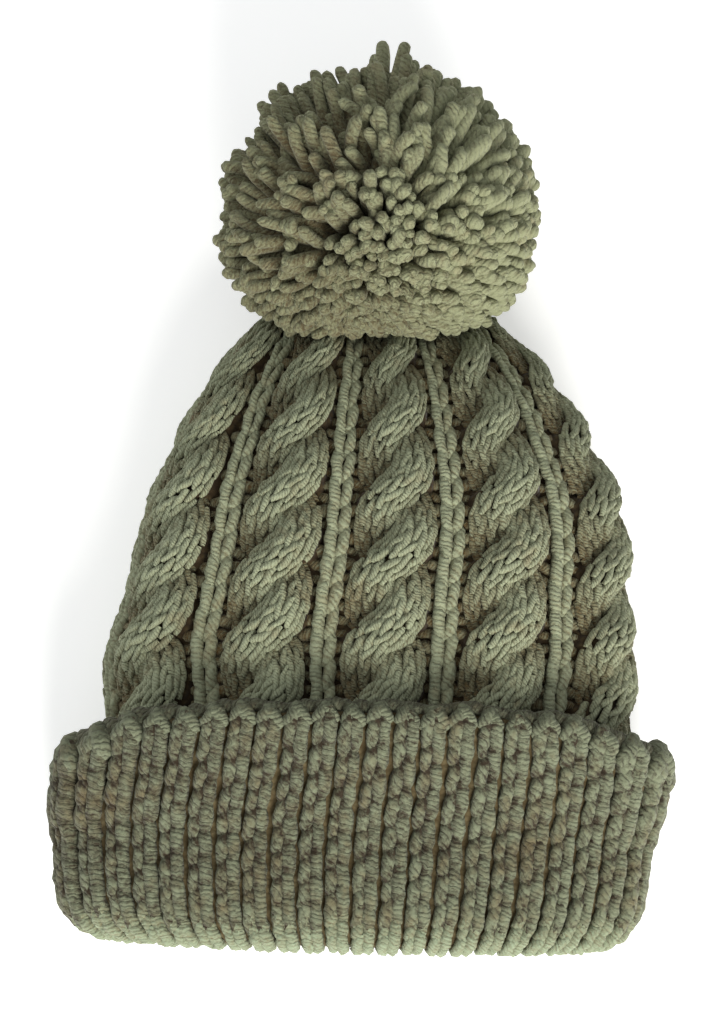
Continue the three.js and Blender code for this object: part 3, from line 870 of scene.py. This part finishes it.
def cuff_legs(sizes, hand):
    """One chain of every rib from edge to fold: broken loops on the left, a smooth ridge on the right."""
    legs = Legs()
    pitch = sizes.rib_pitch / MM
    highest = CUFF_RUN - 8.6
    lowest = 16
    travels = np.arange(highest + pitch, lowest - pitch, -pitch)
    rng = np.random.default_rng(11)
    for rib in range(RIB_COUNT):
        wander = 0.02 * math.sin(rib * 2.1)
        share = (rib + 0.5 + (0.2 if hand > 0 else -0.2) + wander) / RIB_COUNT
        drift = 3.8 * math.sin(rib * 0.75) + 2.4 * math.sin(rib * 2.9) + (1.4 if hand > 0 else -1.4)
        lie = travels + rng.uniform(-1.1, 1.1, len(travels)) + drift
        lie = np.unique(np.clip(lie, lowest, highest))[::-1]
        place, along, normal = cuff_frame(np.full(len(lie), share), lie, 1.5 if hand > 0 else 1.1)
        side = np.cross(along, normal)
        spread = cuff_spread(share, lie)
        size = leg_sizes(normal, spread, np.sqrt(spread))
        # Tone that differs at random, with painted light: the cuff drawn lighter to the right and much
        # lighter near the fold; the loop chain a little darker
        tone_and_light = rng.uniform(0.74, 1.0, len(lie)) * (0.92 + 0.17 * place[:, 0] / (BODY_WIDTH / 2))
        tone_and_light = tone_and_light + 0.22 * np.interp(lie, [14, 36], [1, 0])
        legs.add(place, along, normal + side * (0.3 * hand), 3 if hand > 0 else -6, size,
                 tone_and_light if hand > 0 else tone_and_light * 0.92)
    return legs


# Travels of the small loops round the fold, from the outside to the inside
FOLD_ROWS = np.array([15.2, 11.0, 7.0, 3.2, -0.8, -5.2, -11, -17, -24])


def cuff_fold_legs():
    """Small loops round the fold, where every rib turns into the mouth, and the ribs just inside it."""
    legs = Legs()
    rng = np.random.default_rng(12)
    for rib in range(RIB_COUNT):
        for hand in (-1, 1):
            lie = FOLD_ROWS + rng.uniform(-0.5, 0.5, len(FOLD_ROWS)) + 0.8 * hand
            share = (rib + 0.5 + hand * 0.2) / RIB_COUNT
            height = np.where(lie > 4, 1.1, 0.5)
            place, along, normal = cuff_frame(np.full(len(lie), share), lie, height)
            side = np.cross(along, normal)
            spread = cuff_spread(share, lie)
            size = np.stack([spread, np.ones(len(lie)), np.sqrt(spread)], axis=-1)
            # Tone that differs at random, with painted light fading from the lip of the fold onto the cuff's
            # face
            tone_and_light = rng.uniform(0.84, 1.0, len(lie)) * np.interp(lie, [3, 15], [1, 0.55])
            legs.add(place, along, normal + side * (0.3 * hand), hand * 9, size, tone_and_light)
    return legs


def cuff_edge_legs():
    """The cast-on edge: each rib's two chains close over its end in a round cap, with loops behind painted
    darker as shade.
    """
    legs = Legs()
    ribs = np.arange(RIB_COUNT)
    for aside, run, height, lean, shade, size in (
            (0.64, CUFF_RUN - 3.0, 1.3, 40, 0.95, (1.0, 0.85, 1.0)),
            (0.37, CUFF_RUN - 3.0, 1.1, -40, 0.82, (1.0, 0.85, 1.0)),
            (0.5, CUFF_RUN - 0.6, -1.2, 90, 0.5, (0.95, 0.85, 0.95)),
            (0.0, CUFF_RUN - 0.2, -2.0, 80, 0.4, (0.9, 0.9, 0.9))):
        share = (ribs + aside) / RIB_COUNT
        shift = 0.7 * np.sin(ribs * 1.9 + aside * 3)
        place, along, normal = cuff_frame(share, run + shift, height)
        size = np.array(size) * cuff_spread(share, run + shift)[:, None]
        legs.add(place, along, normal, lean, size, np.full(RIB_COUNT, shade))
    return legs


def cuff_backing(materials):
    """The cloth of the band under its stitches, both layers round fold and edge, as one closed loop."""
    shares = RIB_COUNT * 8
    place = np.arange(shares) / shares
    crest = 0.5 - 0.5 * np.cos(place * RIB_COUNT * 2 * np.pi)
    inner_end = -(BAND_DEPTH - FOLD_RADIUS + QUARTER_FOLD)
    travels = list(np.linspace(inner_end, -QUARTER_FOLD, 9))
    travels += list(np.linspace(-QUARTER_FOLD, QUARTER_FOLD, 9))[1:]
    travels += list(np.linspace(QUARTER_FOLD, CUFF_RUN - 3, 14))[1:]
    rings = []
    for travel in travels:
        height = -(crest * 1.2 - 0.6) if travel < -QUARTER_FOLD else crest * 1.2 - 0.1
        rings.append(cuff_surface(place, travel, height))
    evened = np.maximum(unpressed(loop_normal(place, np.full(shares, 60.0))[:, 2]), 0.5)
    for back, depth in ((0.8, -2.6), (3, -4.6), (24, -5.2), (45, -5.4)):
        rings.append(cuff_surface(place, CUFF_RUN - back, depth / evened))
    rings.append(cuff_surface(place, inner_end, 5.0))
    return grid_mesh("cuff_cloth", rings, materials, inner=9, closed_rows=True)


# Pompom

TIP_X = BODY_LEAN * 0.75
BALL_CENTRE = np.array([
    TIP_X,
    BODY_LENGTH + POMPOM_LENGTH / 2 - POMPOM_OVERLAP,
    (POMPOM_HEIGHT - POMPOM_PRESS) / 2,
])
BALL_RADII = np.array([POMPOM_WIDTH / 2, POMPOM_LENGTH / 2, (POMPOM_HEIGHT + POMPOM_PRESS) / 2])
HEART = BALL_CENTRE - np.array([0, HEART_OFFSET, 0])


def ball_reach(start, direction):
    """Distance from a point inside the pompom's ball to its surface."""
    begin = (start - BALL_CENTRE) / BALL_RADII
    run = direction / BALL_RADII
    a = np.sum(run * run, axis=-1)
    b = np.sum(begin * run, axis=-1)
    c = np.sum(begin * begin, axis=-1) - 1
    return (-b + np.sqrt(b * b - a * c)) / a


def even_directions(count):
    i = np.arange(count)
    up = 1 - 2 * (i + 0.5) / count
    flat = np.sqrt(1 - up * up)
    turn = i * math.pi * (3 - math.sqrt(5))
    return np.stack([flat * np.cos(turn), flat * np.sin(turn), up], axis=-1)


def inside_crown(points, margin):
    """Whether points lie in the crown or nearer to it than the margin."""
    y = points[..., 1]
    half_width, centre, bottom, middle, top = section_sizes(np.clip(y - margin, 0, BODY_LENGTH))
    up = points[..., 2] > middle
    reach = np.where(up, top - middle, middle - bottom) + margin
    power = np.where(up, FRONT_SQUARENESS, BACK_SQUARENESS)
    level = (np.abs(points[..., 0] - centre) / (half_width + margin)) ** power
    level = level + (np.abs(points[..., 2] - middle) / reach) ** power
    return (level < 1) & (y < BODY_LENGTH + margin)


# Where a tuft stands out and where the strands end face on, seen from the heart
TUFT = unit(np.array([0.02, 1.0, 0.15]))
WHORL = unit(np.array([0.02, -0.3, 1.0]))

# Points of a strand: shares of its length, distances back from its rounded tip in millimetres, and radii
STRAND_SHARES = np.array([0, 0.35, 0.65, 1, 1, 1, 1, 1])
TIP_DISTANCES = np.array([0, 0, 0, 6.0, 2.0, 1.1, 0.4, 0])
STRAND_RADII = np.array([0.75, 0.95, 1, 1.03, 1, 0.86, 0.56, 0.16])
TIP_ROOM = 7.0
CLUMP_COUNT = 150
LONGEST_TRIM = 1.06
CROWN_MARGIN = 4.2


def strand_paths(sizes):
    """Centre lines of the pompom's cut strands: points, distance along, radius share, shade and edges."""
    rng = np.random.default_rng(sizes.seed)
    count = sizes.strand_count
    directions = unit(even_directions(count) + rng.normal(0, 0.035, (count, 3)))
    clumps = unit(rng.normal(0, 1, (CLUMP_COUNT, 3)))
    nearest = clumps[np.argmax(directions @ clumps.T, axis=1)]
    left = np.clip(0.55 - 0.45 * directions[:, 0] + 0.25 * directions[:, 1], 0.1, 1)
    tips = unit(directions + (nearest - directions) * (0.4 * left)[:, None])
    points, alongs, radii, shades, edges = [], [], [], [], []
    total = 0
    for i in range(count):
        # How far a strand is cut: loose and uneven at the upper left, short at the back, longer in the tuft
        tuft = max(tips[i] @ TUFT - 0.975, 0) / 0.025
        tips[i] = unit(tips[i] + (TUFT - tips[i]) * 0.45 * tuft)
        reach = ball_reach(HEART, tips[i])
        pole = tips[i] @ WHORL
        loose = left[i] * max(tips[i][2], 0) * min(4 * (1 - pole), 1)
        if rng.random() < 0.5 * loose:
            continue
        trim = 1 + rng.normal(0, 0.012) - abs(rng.normal(0, 0.18 * loose))
        trim -= 0.035 * max(-tips[i][0], 0) + 0.075 * max(tips[i][1], 0) ** 2 - 0.19 * tuft

        # Its two ends, combed towards the whorl, and broad low corners
        end = HEART + tips[i] * (reach * min(trim, LONGEST_TRIM + 0.06 * tuft) - 1.5)
        aside = (end - BALL_CENTRE) / BALL_RADII
        end = end + (end - BALL_CENTRE) * (0.14 * (2 * abs(aside[0]) * max(-aside[1], 0)) ** 1.3)
        right = np.clip(tips[i][0] * 0.9 + tips[i][1] * 0.4, -1, 1)
        rightward = max(right, 0)
        combed = (0.65 + 0.25 * rightward) * np.clip(0.5 + pole, 0, 1) * np.clip(2.4 - 2.2 * pole, 0.2, 1)
        root = unit(tips[i] + WHORL * combed + rng.normal(0, 0.05, 3))
        begin = HEART + root * reach * (0.36 + 0.3 * combed)

        # Its line, with a little sag, kept off the floor and out of the crown
        sag = rng.normal(0, 1.7 + 1.6 * loose, 3)
        length = np.linalg.norm(end - begin)
        steps = np.clip(STRAND_SHARES * (length - TIP_DISTANCES) / length, 0, 1)
        steps[:3] = STRAND_SHARES[:3] * (length - TIP_ROOM) / length
        t = steps[:, None]
        path = begin * (1 - t) + end * t + sag * (4 * t * (1 - t)) + rng.normal(0, 0.9, 3) * t ** 2
        if end[2] < 2.0:
            if end[2] < -26:
                continue
            path[:, 2] = np.maximum(path[:, 2], 1.6 + 0.4 * steps)
        blocked = inside_crown(path, CROWN_MARGIN)
        if blocked[-1]:
            continue
        if blocked.any():
            first = np.nonzero(blocked)[0][-1] + 1
            if first > 4:
                continue
            again = steps.copy()
            again[:4] = steps[4] - 0.02 * np.arange(4, 0, -1)
            if first < 4:
                again[:4] = np.linspace(steps[first], steps[4] - 0.02, 4)
            path = np.stack([np.interp(again, steps, path[:, a]) for a in range(3)], axis=-1)

        # Its thickness, and its painted shade and light: dark at the root, lighter to the right, darker to
        # the left and on the side facing the crown
        run = np.concatenate([[0], np.cumsum(np.linalg.norm(np.diff(path, axis=0), axis=1))])
        size = 1 + rng.normal(0, 0.06) + 0.1 * rightward
        points.append(path)
        alongs.append(run + rng.random() * 40)
        radii.append(STRAND_RADII * size)
        base = np.interp(steps, [0, 0.35, 0.65, 0.88, 1],
                         [0.7 * rightward, rightward, 0.36 + 0.64 * rightward, 0.78 + 0.24 * rightward, 1])
        lit = 0.92 + 0.4 * rightward - 0.16 * max(-right, 0) - 0.2 * max(-tips[i][1], 0)
        shades.append(base * lit * (0.9 + 0.2 * rng.random()))
        edges += [(total + n, total + n + 1) for n in range(len(steps) - 1)]
        total += len(steps)
    return [np.concatenate(part) for part in (points, alongs, radii, shades)] + [edges]


def strands_mesh(paths, name):
    points, alongs, radii, shades, edges = paths
    mesh = bpy.data.meshes.new(name)
    mesh.from_pydata(to_frame(points).tolist(), edges, [])
    for label, values in (("along", alongs * MM), ("thick", radii), ("shade", shades)):
        layer = mesh.attributes.new(label, "FLOAT", "POINT")
        layer.data.foreach_set("value", np.asarray(values, np.float32))
    return mesh


def pompom_core(material):
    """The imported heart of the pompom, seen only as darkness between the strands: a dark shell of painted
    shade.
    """
    rows, count = 28, 48
    rings = []
    turn = np.arange(count) / count * 2 * np.pi
    for r in range(1, rows):
        polar = math.pi * r / rows
        wide = np.sin(polar)
        along = np.full(count, -math.cos(polar))
        direction = np.stack([wide * np.sin(turn), along, wide * np.cos(turn)], axis=-1)
        share = 0.56 + 0.05 * np.sin(turn * 9 + r * 2.3)
        point = BALL_CENTRE + direction * BALL_RADII * share[:, None]
        for n in range(count):
            away = 0
            while inside_crown(point[n], 1.2) and away < 60:
                point[n] = point[n] + np.array([0, 0.8, 0])
                away += 1
        rings.append(point)
    first = rings[0].mean(axis=0)
    last = rings[-1].mean(axis=0) + np.array([0, 1.0, 0])
    return grid_mesh("pompom_heart", rings, [material], caps=(first, last))


# Settings that a user would change

def colour_setting(name, description, hex_colour):
    return bpy.props.FloatVectorProperty(name=name, description=description, subtype="COLOR", size=3,
                                         default=linear(hex_colour)[:3], min=0, max=1)


def length_setting(name, description, millimetres):
    return bpy.props.FloatProperty(name=name, description=description, unit="LENGTH",
                                   default=millimetres * MM)


class HatYarnSettings(bpy.types.PropertyGroup):
    """Colours of the wool."""

    face: colour_setting("Yarn", "Colour of the yarn's lit plies", 0x959b7e)
    worn: colour_setting("Patches", "Colour of the browner patches of the yarn", 0x8a8162)
    # Painted shade: the cuff's colours are the yarn's drawn about a quarter darker, for the shade of its deep
    # ribs
    cuff_shaded_face: colour_setting("Cuff yarn", "Colour of the cuff's lit plies", 0x6e735c)
    cuff_shaded_worn: colour_setting("Cuff patches", "Colour of the browner patches of the cuff", 0x665c42)
    # Painted light: the fold's colour is lighter than the cuff's, where the fold catches the light
    fold_lit_face: colour_setting("Fold yarn", "Colour of the yarn round the cuff's fold", 0x828d73)
    pompom_face: colour_setting("Pompom yarn", "Colour of the cut yarn of the pompom", 0x8a8d6d)
    # Painted shade: Hollows, Cloth and Deep cloth are the browns the wool is drawn in where shade falls
    # between plies, under loops and deep between stitches
    painted_shade_brown: colour_setting("Hollows", "Colour between the plies and under the loops", 0x54401f)
    cloth: colour_setting("Cloth", "Colour of the cloth between the stitches", 0x4c4029)
    deep: colour_setting("Deep cloth", "Colour of the deepest hollows", 0x2c2114)


class HatCrownSettings(bpy.types.PropertyGroup):
    """Sizes of the crown's stitches."""

    row_pitch: length_setting("Row pitch", "Length of one row of small stitches", 4.9)
    rib_pitch: length_setting("Rib stitch", "Length of one stitch of the ribs", 9.3)
    leg_thickness: length_setting("Leg thickness", "Thickness of the yarn in the cables", 2.75)
    wale_turn: bpy.props.FloatProperty(
        name="Wale turn", description="Angle round a strand from one wale to the next", unit="ROTATION",
        default=math.radians(33.5))


class HatCuffSettings(bpy.types.PropertyGroup):
    """Sizes of the cuff's stitches."""

    rib_pitch: length_setting("Rib stitch", "Length of one stitch of the ribs", 9.3)
    leg_thickness: length_setting("Leg thickness", "Thickness of a chain of the ribs", 5.25)


class HatPompomSettings(bpy.types.PropertyGroup):
    """Sizes of the pompom."""

    strand_count: bpy.props.IntProperty(
        name="Strands", description="Number of strands, with those that the crown hides", default=2050)
    strand_thickness: length_setting("Strand thickness", "Thickness of a cut strand", 4.5)
    seed: bpy.props.IntProperty(name="Seed", description="Seed of the strands' lengths and bends", default=7)


def wool(context, *names):
    """Colours of the wool by name."""
    return [getattr(context.scene.hat_yarn, name) for name in names]


def inside_material(context):
    """The plain back of the knitting: purl bumps 4.5 mm wide that catch a little light in the mouth."""
    name = "purl_wool_inside"
    return bpy.data.materials.get(name) or backing_material(name, *wool(context, "worn", "painted_shade_brown"), 4.5)


class HAT_OT_crown(bpy.types.Operator):
    """Knits the crown: its cloth, the cables, the ribs between them and the purl valleys"""

    bl_idname = "hat.knit_crown"
    bl_label = "Knit the crown"

    def execute(self, context):
        sizes = context.scene.hat_crown
        colours = wool(context, "face", "worn", "painted_shade_brown")
        # Tight small stitches: short slanting strokes with painted shade in brown between the plies
        cable = wool_material("worsted_wool_cables", colours, plies=3, lay_pitch=3.6, ply_depth=0.35,
                              ply_shade=0.4, underside_shade=0.35, brown=0.1)
        # A smooth ridge with close turns, and loops whose plies run long and open
        ridge = wool_material("worsted_wool_rib_ridges", colours, plies=2, lay_pitch=3.4, ply_depth=0.4,
                              ply_shade=0.35, underside_shade=0.4, brown=0.1)
        loose = wool_material("worsted_wool_rib_loops", colours, plies=3, lay_pitch=6.6, ply_depth=0.4,
                              ply_shade=0.4, underside_shade=0.4, brown=0.2)
        # Knitted cloth seen deep between the stitches, drawn as warm darkness: painted shade
        dark = backing_material("purl_wool_cloth_painted_shade", *wool(context, "cloth", "deep"), 2.4)
        tree = stitch_tree()
        pieces = []
        for strand, name in ((0, "crown_cable_strands_a"), (1, "crown_cable_strands_b")):
            pieces.append(run_tree(
                name, cable_legs(sizes, strand).mesh(name), tree, Length=sizes.row_pitch * 1.75,
                Thickness=sizes.leg_thickness, Arch=0.0006, Fullness=0.5, Looseness=0.06, Sides=6, Steps=5,
                Seed=3 + strand, Material=cable))
        for hand, name, length, yarn in (
                (-1, "crown_rib_ridges", 1.6, ridge),
                (1, "crown_rib_loops", 1.4, loose)):
            pieces.append(run_tree(
                name, panel_rib_legs(sizes, hand).mesh(name), tree, Length=sizes.rib_pitch * length,
                Thickness=0.0046, Arch=0.0011, Bow=0.0004 * hand, Looseness=0.05, Sides=8, Steps=7, Seed=5,
                Material=yarn))
        pieces.append(run_tree(
            "crown_purl_valleys", purl_legs(sizes).mesh("purl"), tree, Length=0.0076, Thickness=0.0045,
            Arch=0.0014, Looseness=0.2, Sides=6, Steps=4, Seed=6, Material=cable))
        pieces.append(crown_backing([dark, inside_material(context)]))
        for piece in pieces:
            place_piece(piece, "crown")
        return {"FINISHED"}


class HAT_OT_cuff(bpy.types.Operator):
    """Knits the turned-up cuff: its cloth, its ribs, its fold and its cast-on edge"""

    bl_idname = "hat.knit_cuff"
    bl_label = "Knit the cuff"

    def execute(self, context):
        sizes = context.scene.hat_cuff
        colours = wool(context, "cuff_shaded_face", "cuff_shaded_worn", "deep")
        fold_colours = wool(context, "fold_lit_face", "cuff_shaded_face", "cuff_shaded_worn")
        # Thick worn ribs: mottled yarn, painted darker down the middle of each rib as the shade of its holes
        ridge = wool_material("worsted_wool_cuff_ridges", colours, plies=2, lay_pitch=3.8, ply_depth=0.4,
                              ply_shade=0.22, underside_shade=0.55, brown=0.35, mottle=2.4, dip=(1.8, 0.9, -1),
                              fuzz_size=2.2)
        loose = wool_material("worsted_wool_cuff_loops", colours, plies=4, lay_pitch=12.0, ply_depth=0.45,
                              ply_shade=0.3, underside_shade=0.55, brown=0.5, mottle=2.4, dip=(1.8, 0.9, 1),
                              fuzz_size=2.2)
        # Round caps with clear plies at the edge, and greener yarn painted lighter where the fold catches the
        # light
        edge = wool_material("worsted_wool_cuff_edge", colours, plies=3, lay_pitch=6.0, ply_depth=0.5,
                             ply_shade=0.4, underside_shade=0.3, brown=0.2, mottle=1.6)
        small = wool_material("worsted_wool_cuff_fold", fold_colours, plies=3, lay_pitch=5.0, ply_depth=0.35,
                              ply_shade=0.35, underside_shade=0.4, brown=-0.1, mottle=1.6)
        # Painted shade: the band's cloth between the ribs is drawn dark brown
        dark = backing_material("purl_wool_cuff_cloth_painted_shade", *wool(context, "cuff_shaded_worn", "cloth"), 2.4)
        tree = stitch_tree()
        pieces = []
        for hand, name, length, yarn in (
                (1, "cuff_rib_ridges", 1.65, ridge),
                (-1, "cuff_rib_loops", 1.55, loose)):
            pieces.append(run_tree(
                name, cuff_legs(sizes, hand).mesh(name), tree, Length=sizes.rib_pitch * length,
                Thickness=sizes.leg_thickness, Arch=0.0015, Bow=0.0006 * hand, Fullness=0.4, Looseness=0.1,
                Sides=8, Steps=7, Seed=8, Material=yarn))
        pieces.append(run_tree(
            "cuff_fold", cuff_fold_legs().mesh("cuff_fold"), tree, Length=0.0076, Thickness=0.0049,
            Arch=0.0011, Looseness=0.1, Sides=7, Steps=5, Seed=10, Material=small))
        pieces.append(run_tree(
            "cuff_edge", cuff_edge_legs().mesh("cuff_edge"), tree, Length=0.0108, Thickness=0.0052,
            Arch=0.0014, Looseness=0.1, Sides=8, Steps=6, Seed=9, Material=edge))
        pieces.append(cuff_backing([dark, inside_material(context)]))
        for piece in pieces:
            place_piece(piece, "cuff")
        return {"FINISHED"}


class HAT_OT_pompom(bpy.types.Operator):
    """Winds the pompom: its packed heart and its cut strands"""

    bl_idname = "hat.wind_pompom"
    bl_label = "Wind the pompom"

    def execute(self, context):
        sizes = context.scene.hat_pompom
        # Cut yarn that has begun to untwist: soft, with long plies, and painted shade as darkness in the
        # imported heart
        colours = wool(context, "pompom_face", "worn", "cloth")
        cut = wool_material("cut_wool_yarn", colours, plies=4, lay_pitch=9.0, ply_depth=0.4, ply_shade=0.35,
                            underside_shade=0.2, brown=0.15, mottle=1.6)
        dark = backing_material("packed_wool_heart_painted_shade", *wool(context, "cloth", "deep"), 3.5)
        piece = run_tree(
            "pompom_strands", strands_mesh(strand_paths(sizes), "paths"), strand_tree(),
            Thickness=sizes.strand_thickness, Sides=7, Lumps=0.0012, Material=cut)
        place_piece(piece, "pompom")
        place_piece(pompom_core(dark), "pompom")
        return {"FINISHED"}


# Camera at the photograph's angle, from nearly overhead
CAMERA_ELEVATION = 80
CAMERA_LENS = 65
CAMERA_DISTANCE = 0.6748
CAMERA_TARGET = Vector((0, 0, 0.045))
IMAGE_LONG_SIDE = 1024
TARGET_PIXEL_OFFSET = (3.5, 28.0)
FLOOR_REACH = 4.0


def make_camera():
    data = bpy.data.cameras.new("camera")
    data.lens = CAMERA_LENS
    data.sensor_fit = "VERTICAL"
    data.sensor_height = 36
    data.sensor_width = 36
    data.clip_start = 0.01
    elevation = math.radians(CAMERA_ELEVATION)
    away = Vector((0, -math.cos(elevation), math.sin(elevation)))
    up = Vector((0, math.sin(elevation), math.cos(elevation)))
    per_pixel = CAMERA_DISTANCE * 36 / CAMERA_LENS / IMAGE_LONG_SIDE
    right = Vector((1, 0, 0))
    aim = CAMERA_TARGET - (right * TARGET_PIXEL_OFFSET[0] + up * TARGET_PIXEL_OFFSET[1]) * per_pixel
    camera = new_object("camera", data)
    camera.location = aim + away * CAMERA_DISTANCE
    camera.rotation_euler = (math.radians(90 - CAMERA_ELEVATION), 0, 0)
    bpy.context.scene.camera = camera


def area_light(name, place, aim, size, power, colour):
    data = bpy.data.lights.new(name, "AREA")
    data.shape = "DISK"
    data.size = size
    data.energy = power
    data.color = colour
    light = new_object(name, data)
    light.location = place
    light.rotation_euler = (Vector(aim) - Vector(place)).to_track_quat("-Z", "Y").to_euler()


class HAT_OT_stage(bpy.types.Operator):
    """Sets the pale floor, the soft lights and the camera"""

    bl_idname = "hat.set_stage"
    bl_label = "Set the stage"

    def execute(self, context):
        make_camera()
        mesh = bpy.data.meshes.new("floor")
        corners = [(-1, -1), (1, -1), (1, 1), (-1, 1)]
        mesh.from_pydata([(x * FLOOR_REACH, y * FLOOR_REACH, 0) for x, y in corners], [], [(0, 1, 2, 3)])
        floor = new_object("floor", mesh)
        # Matte white board, which gives off a little light so that it stays white up to the frame's edge
        board = new_material("matte_white_board", Base_Color=linear(0xf4f4f2), Roughness=0.8,
                             Emission_Color=linear(0xffffff), Emission_Strength=0.42)
        mesh.materials.append(board[0])
        area_light("key", (0.28, -1.05, 0.62), (0, 0, 0.03), 0.7, 23, (1.0, 0.985, 0.95))
        area_light("fill", (-0.9, 0.4, 1.1), (0, 0, 0.03), 1.4, 5, (0.95, 0.98, 1.0))
        context.scene.view_settings.view_transform = "Standard"
        world = bpy.data.worlds.new("studio")
        context.scene.world = world
        world.use_nodes = True
        background = world.node_tree.nodes["Background"]
        background.inputs["Color"].default_value = linear(0xf2f4f6)
        background.inputs["Strength"].default_value = 0.5
        return {"FINISHED"}


class HAT_PT_panel(bpy.types.Panel):
    """Shows the hat's settings and the buttons that knit its pieces and set the stage"""

    bl_idname = "HAT_PT_panel"
    bl_label = "Cable knit hat"
    bl_space_type = "VIEW_3D"
    bl_region_type = "UI"
    bl_category = "Hat"

    def draw(self, context):
        column = self.layout.column()
        for label in SETTINGS:
            group = getattr(context.scene, label)
            for name in group.__annotations__:
                column.prop(group, name)
        for operator in OPERATORS:
            column.operator(operator.bl_idname)


OPERATORS = (HAT_OT_crown, HAT_OT_cuff, HAT_OT_pompom, HAT_OT_stage)
SETTINGS = {"hat_yarn": HatYarnSettings, "hat_crown": HatCrownSettings, "hat_cuff": HatCuffSettings,
            "hat_pompom": HatPompomSettings}


def register():
    for group in SETTINGS.values():
        bpy.utils.register_class(group)
    for operator in OPERATORS:
        bpy.utils.register_class(operator)
    bpy.utils.register_class(HAT_PT_panel)
    for name, group in SETTINGS.items():
        setattr(bpy.types.Scene, name, bpy.props.PointerProperty(type=group))


def unregister():
    for name in SETTINGS:
        delattr(bpy.types.Scene, name)
    bpy.utils.unregister_class(HAT_PT_panel)
    for operator in reversed(OPERATORS):
        bpy.utils.unregister_class(operator)
    for group in SETTINGS.values():
        bpy.utils.unregister_class(group)


def main():
    register()
    bpy.ops.hat.knit_crown()
    bpy.ops.hat.knit_cuff()
    bpy.ops.hat.wind_pompom()
    bpy.ops.hat.set_stage()


if __name__ == "__main__":
    main()
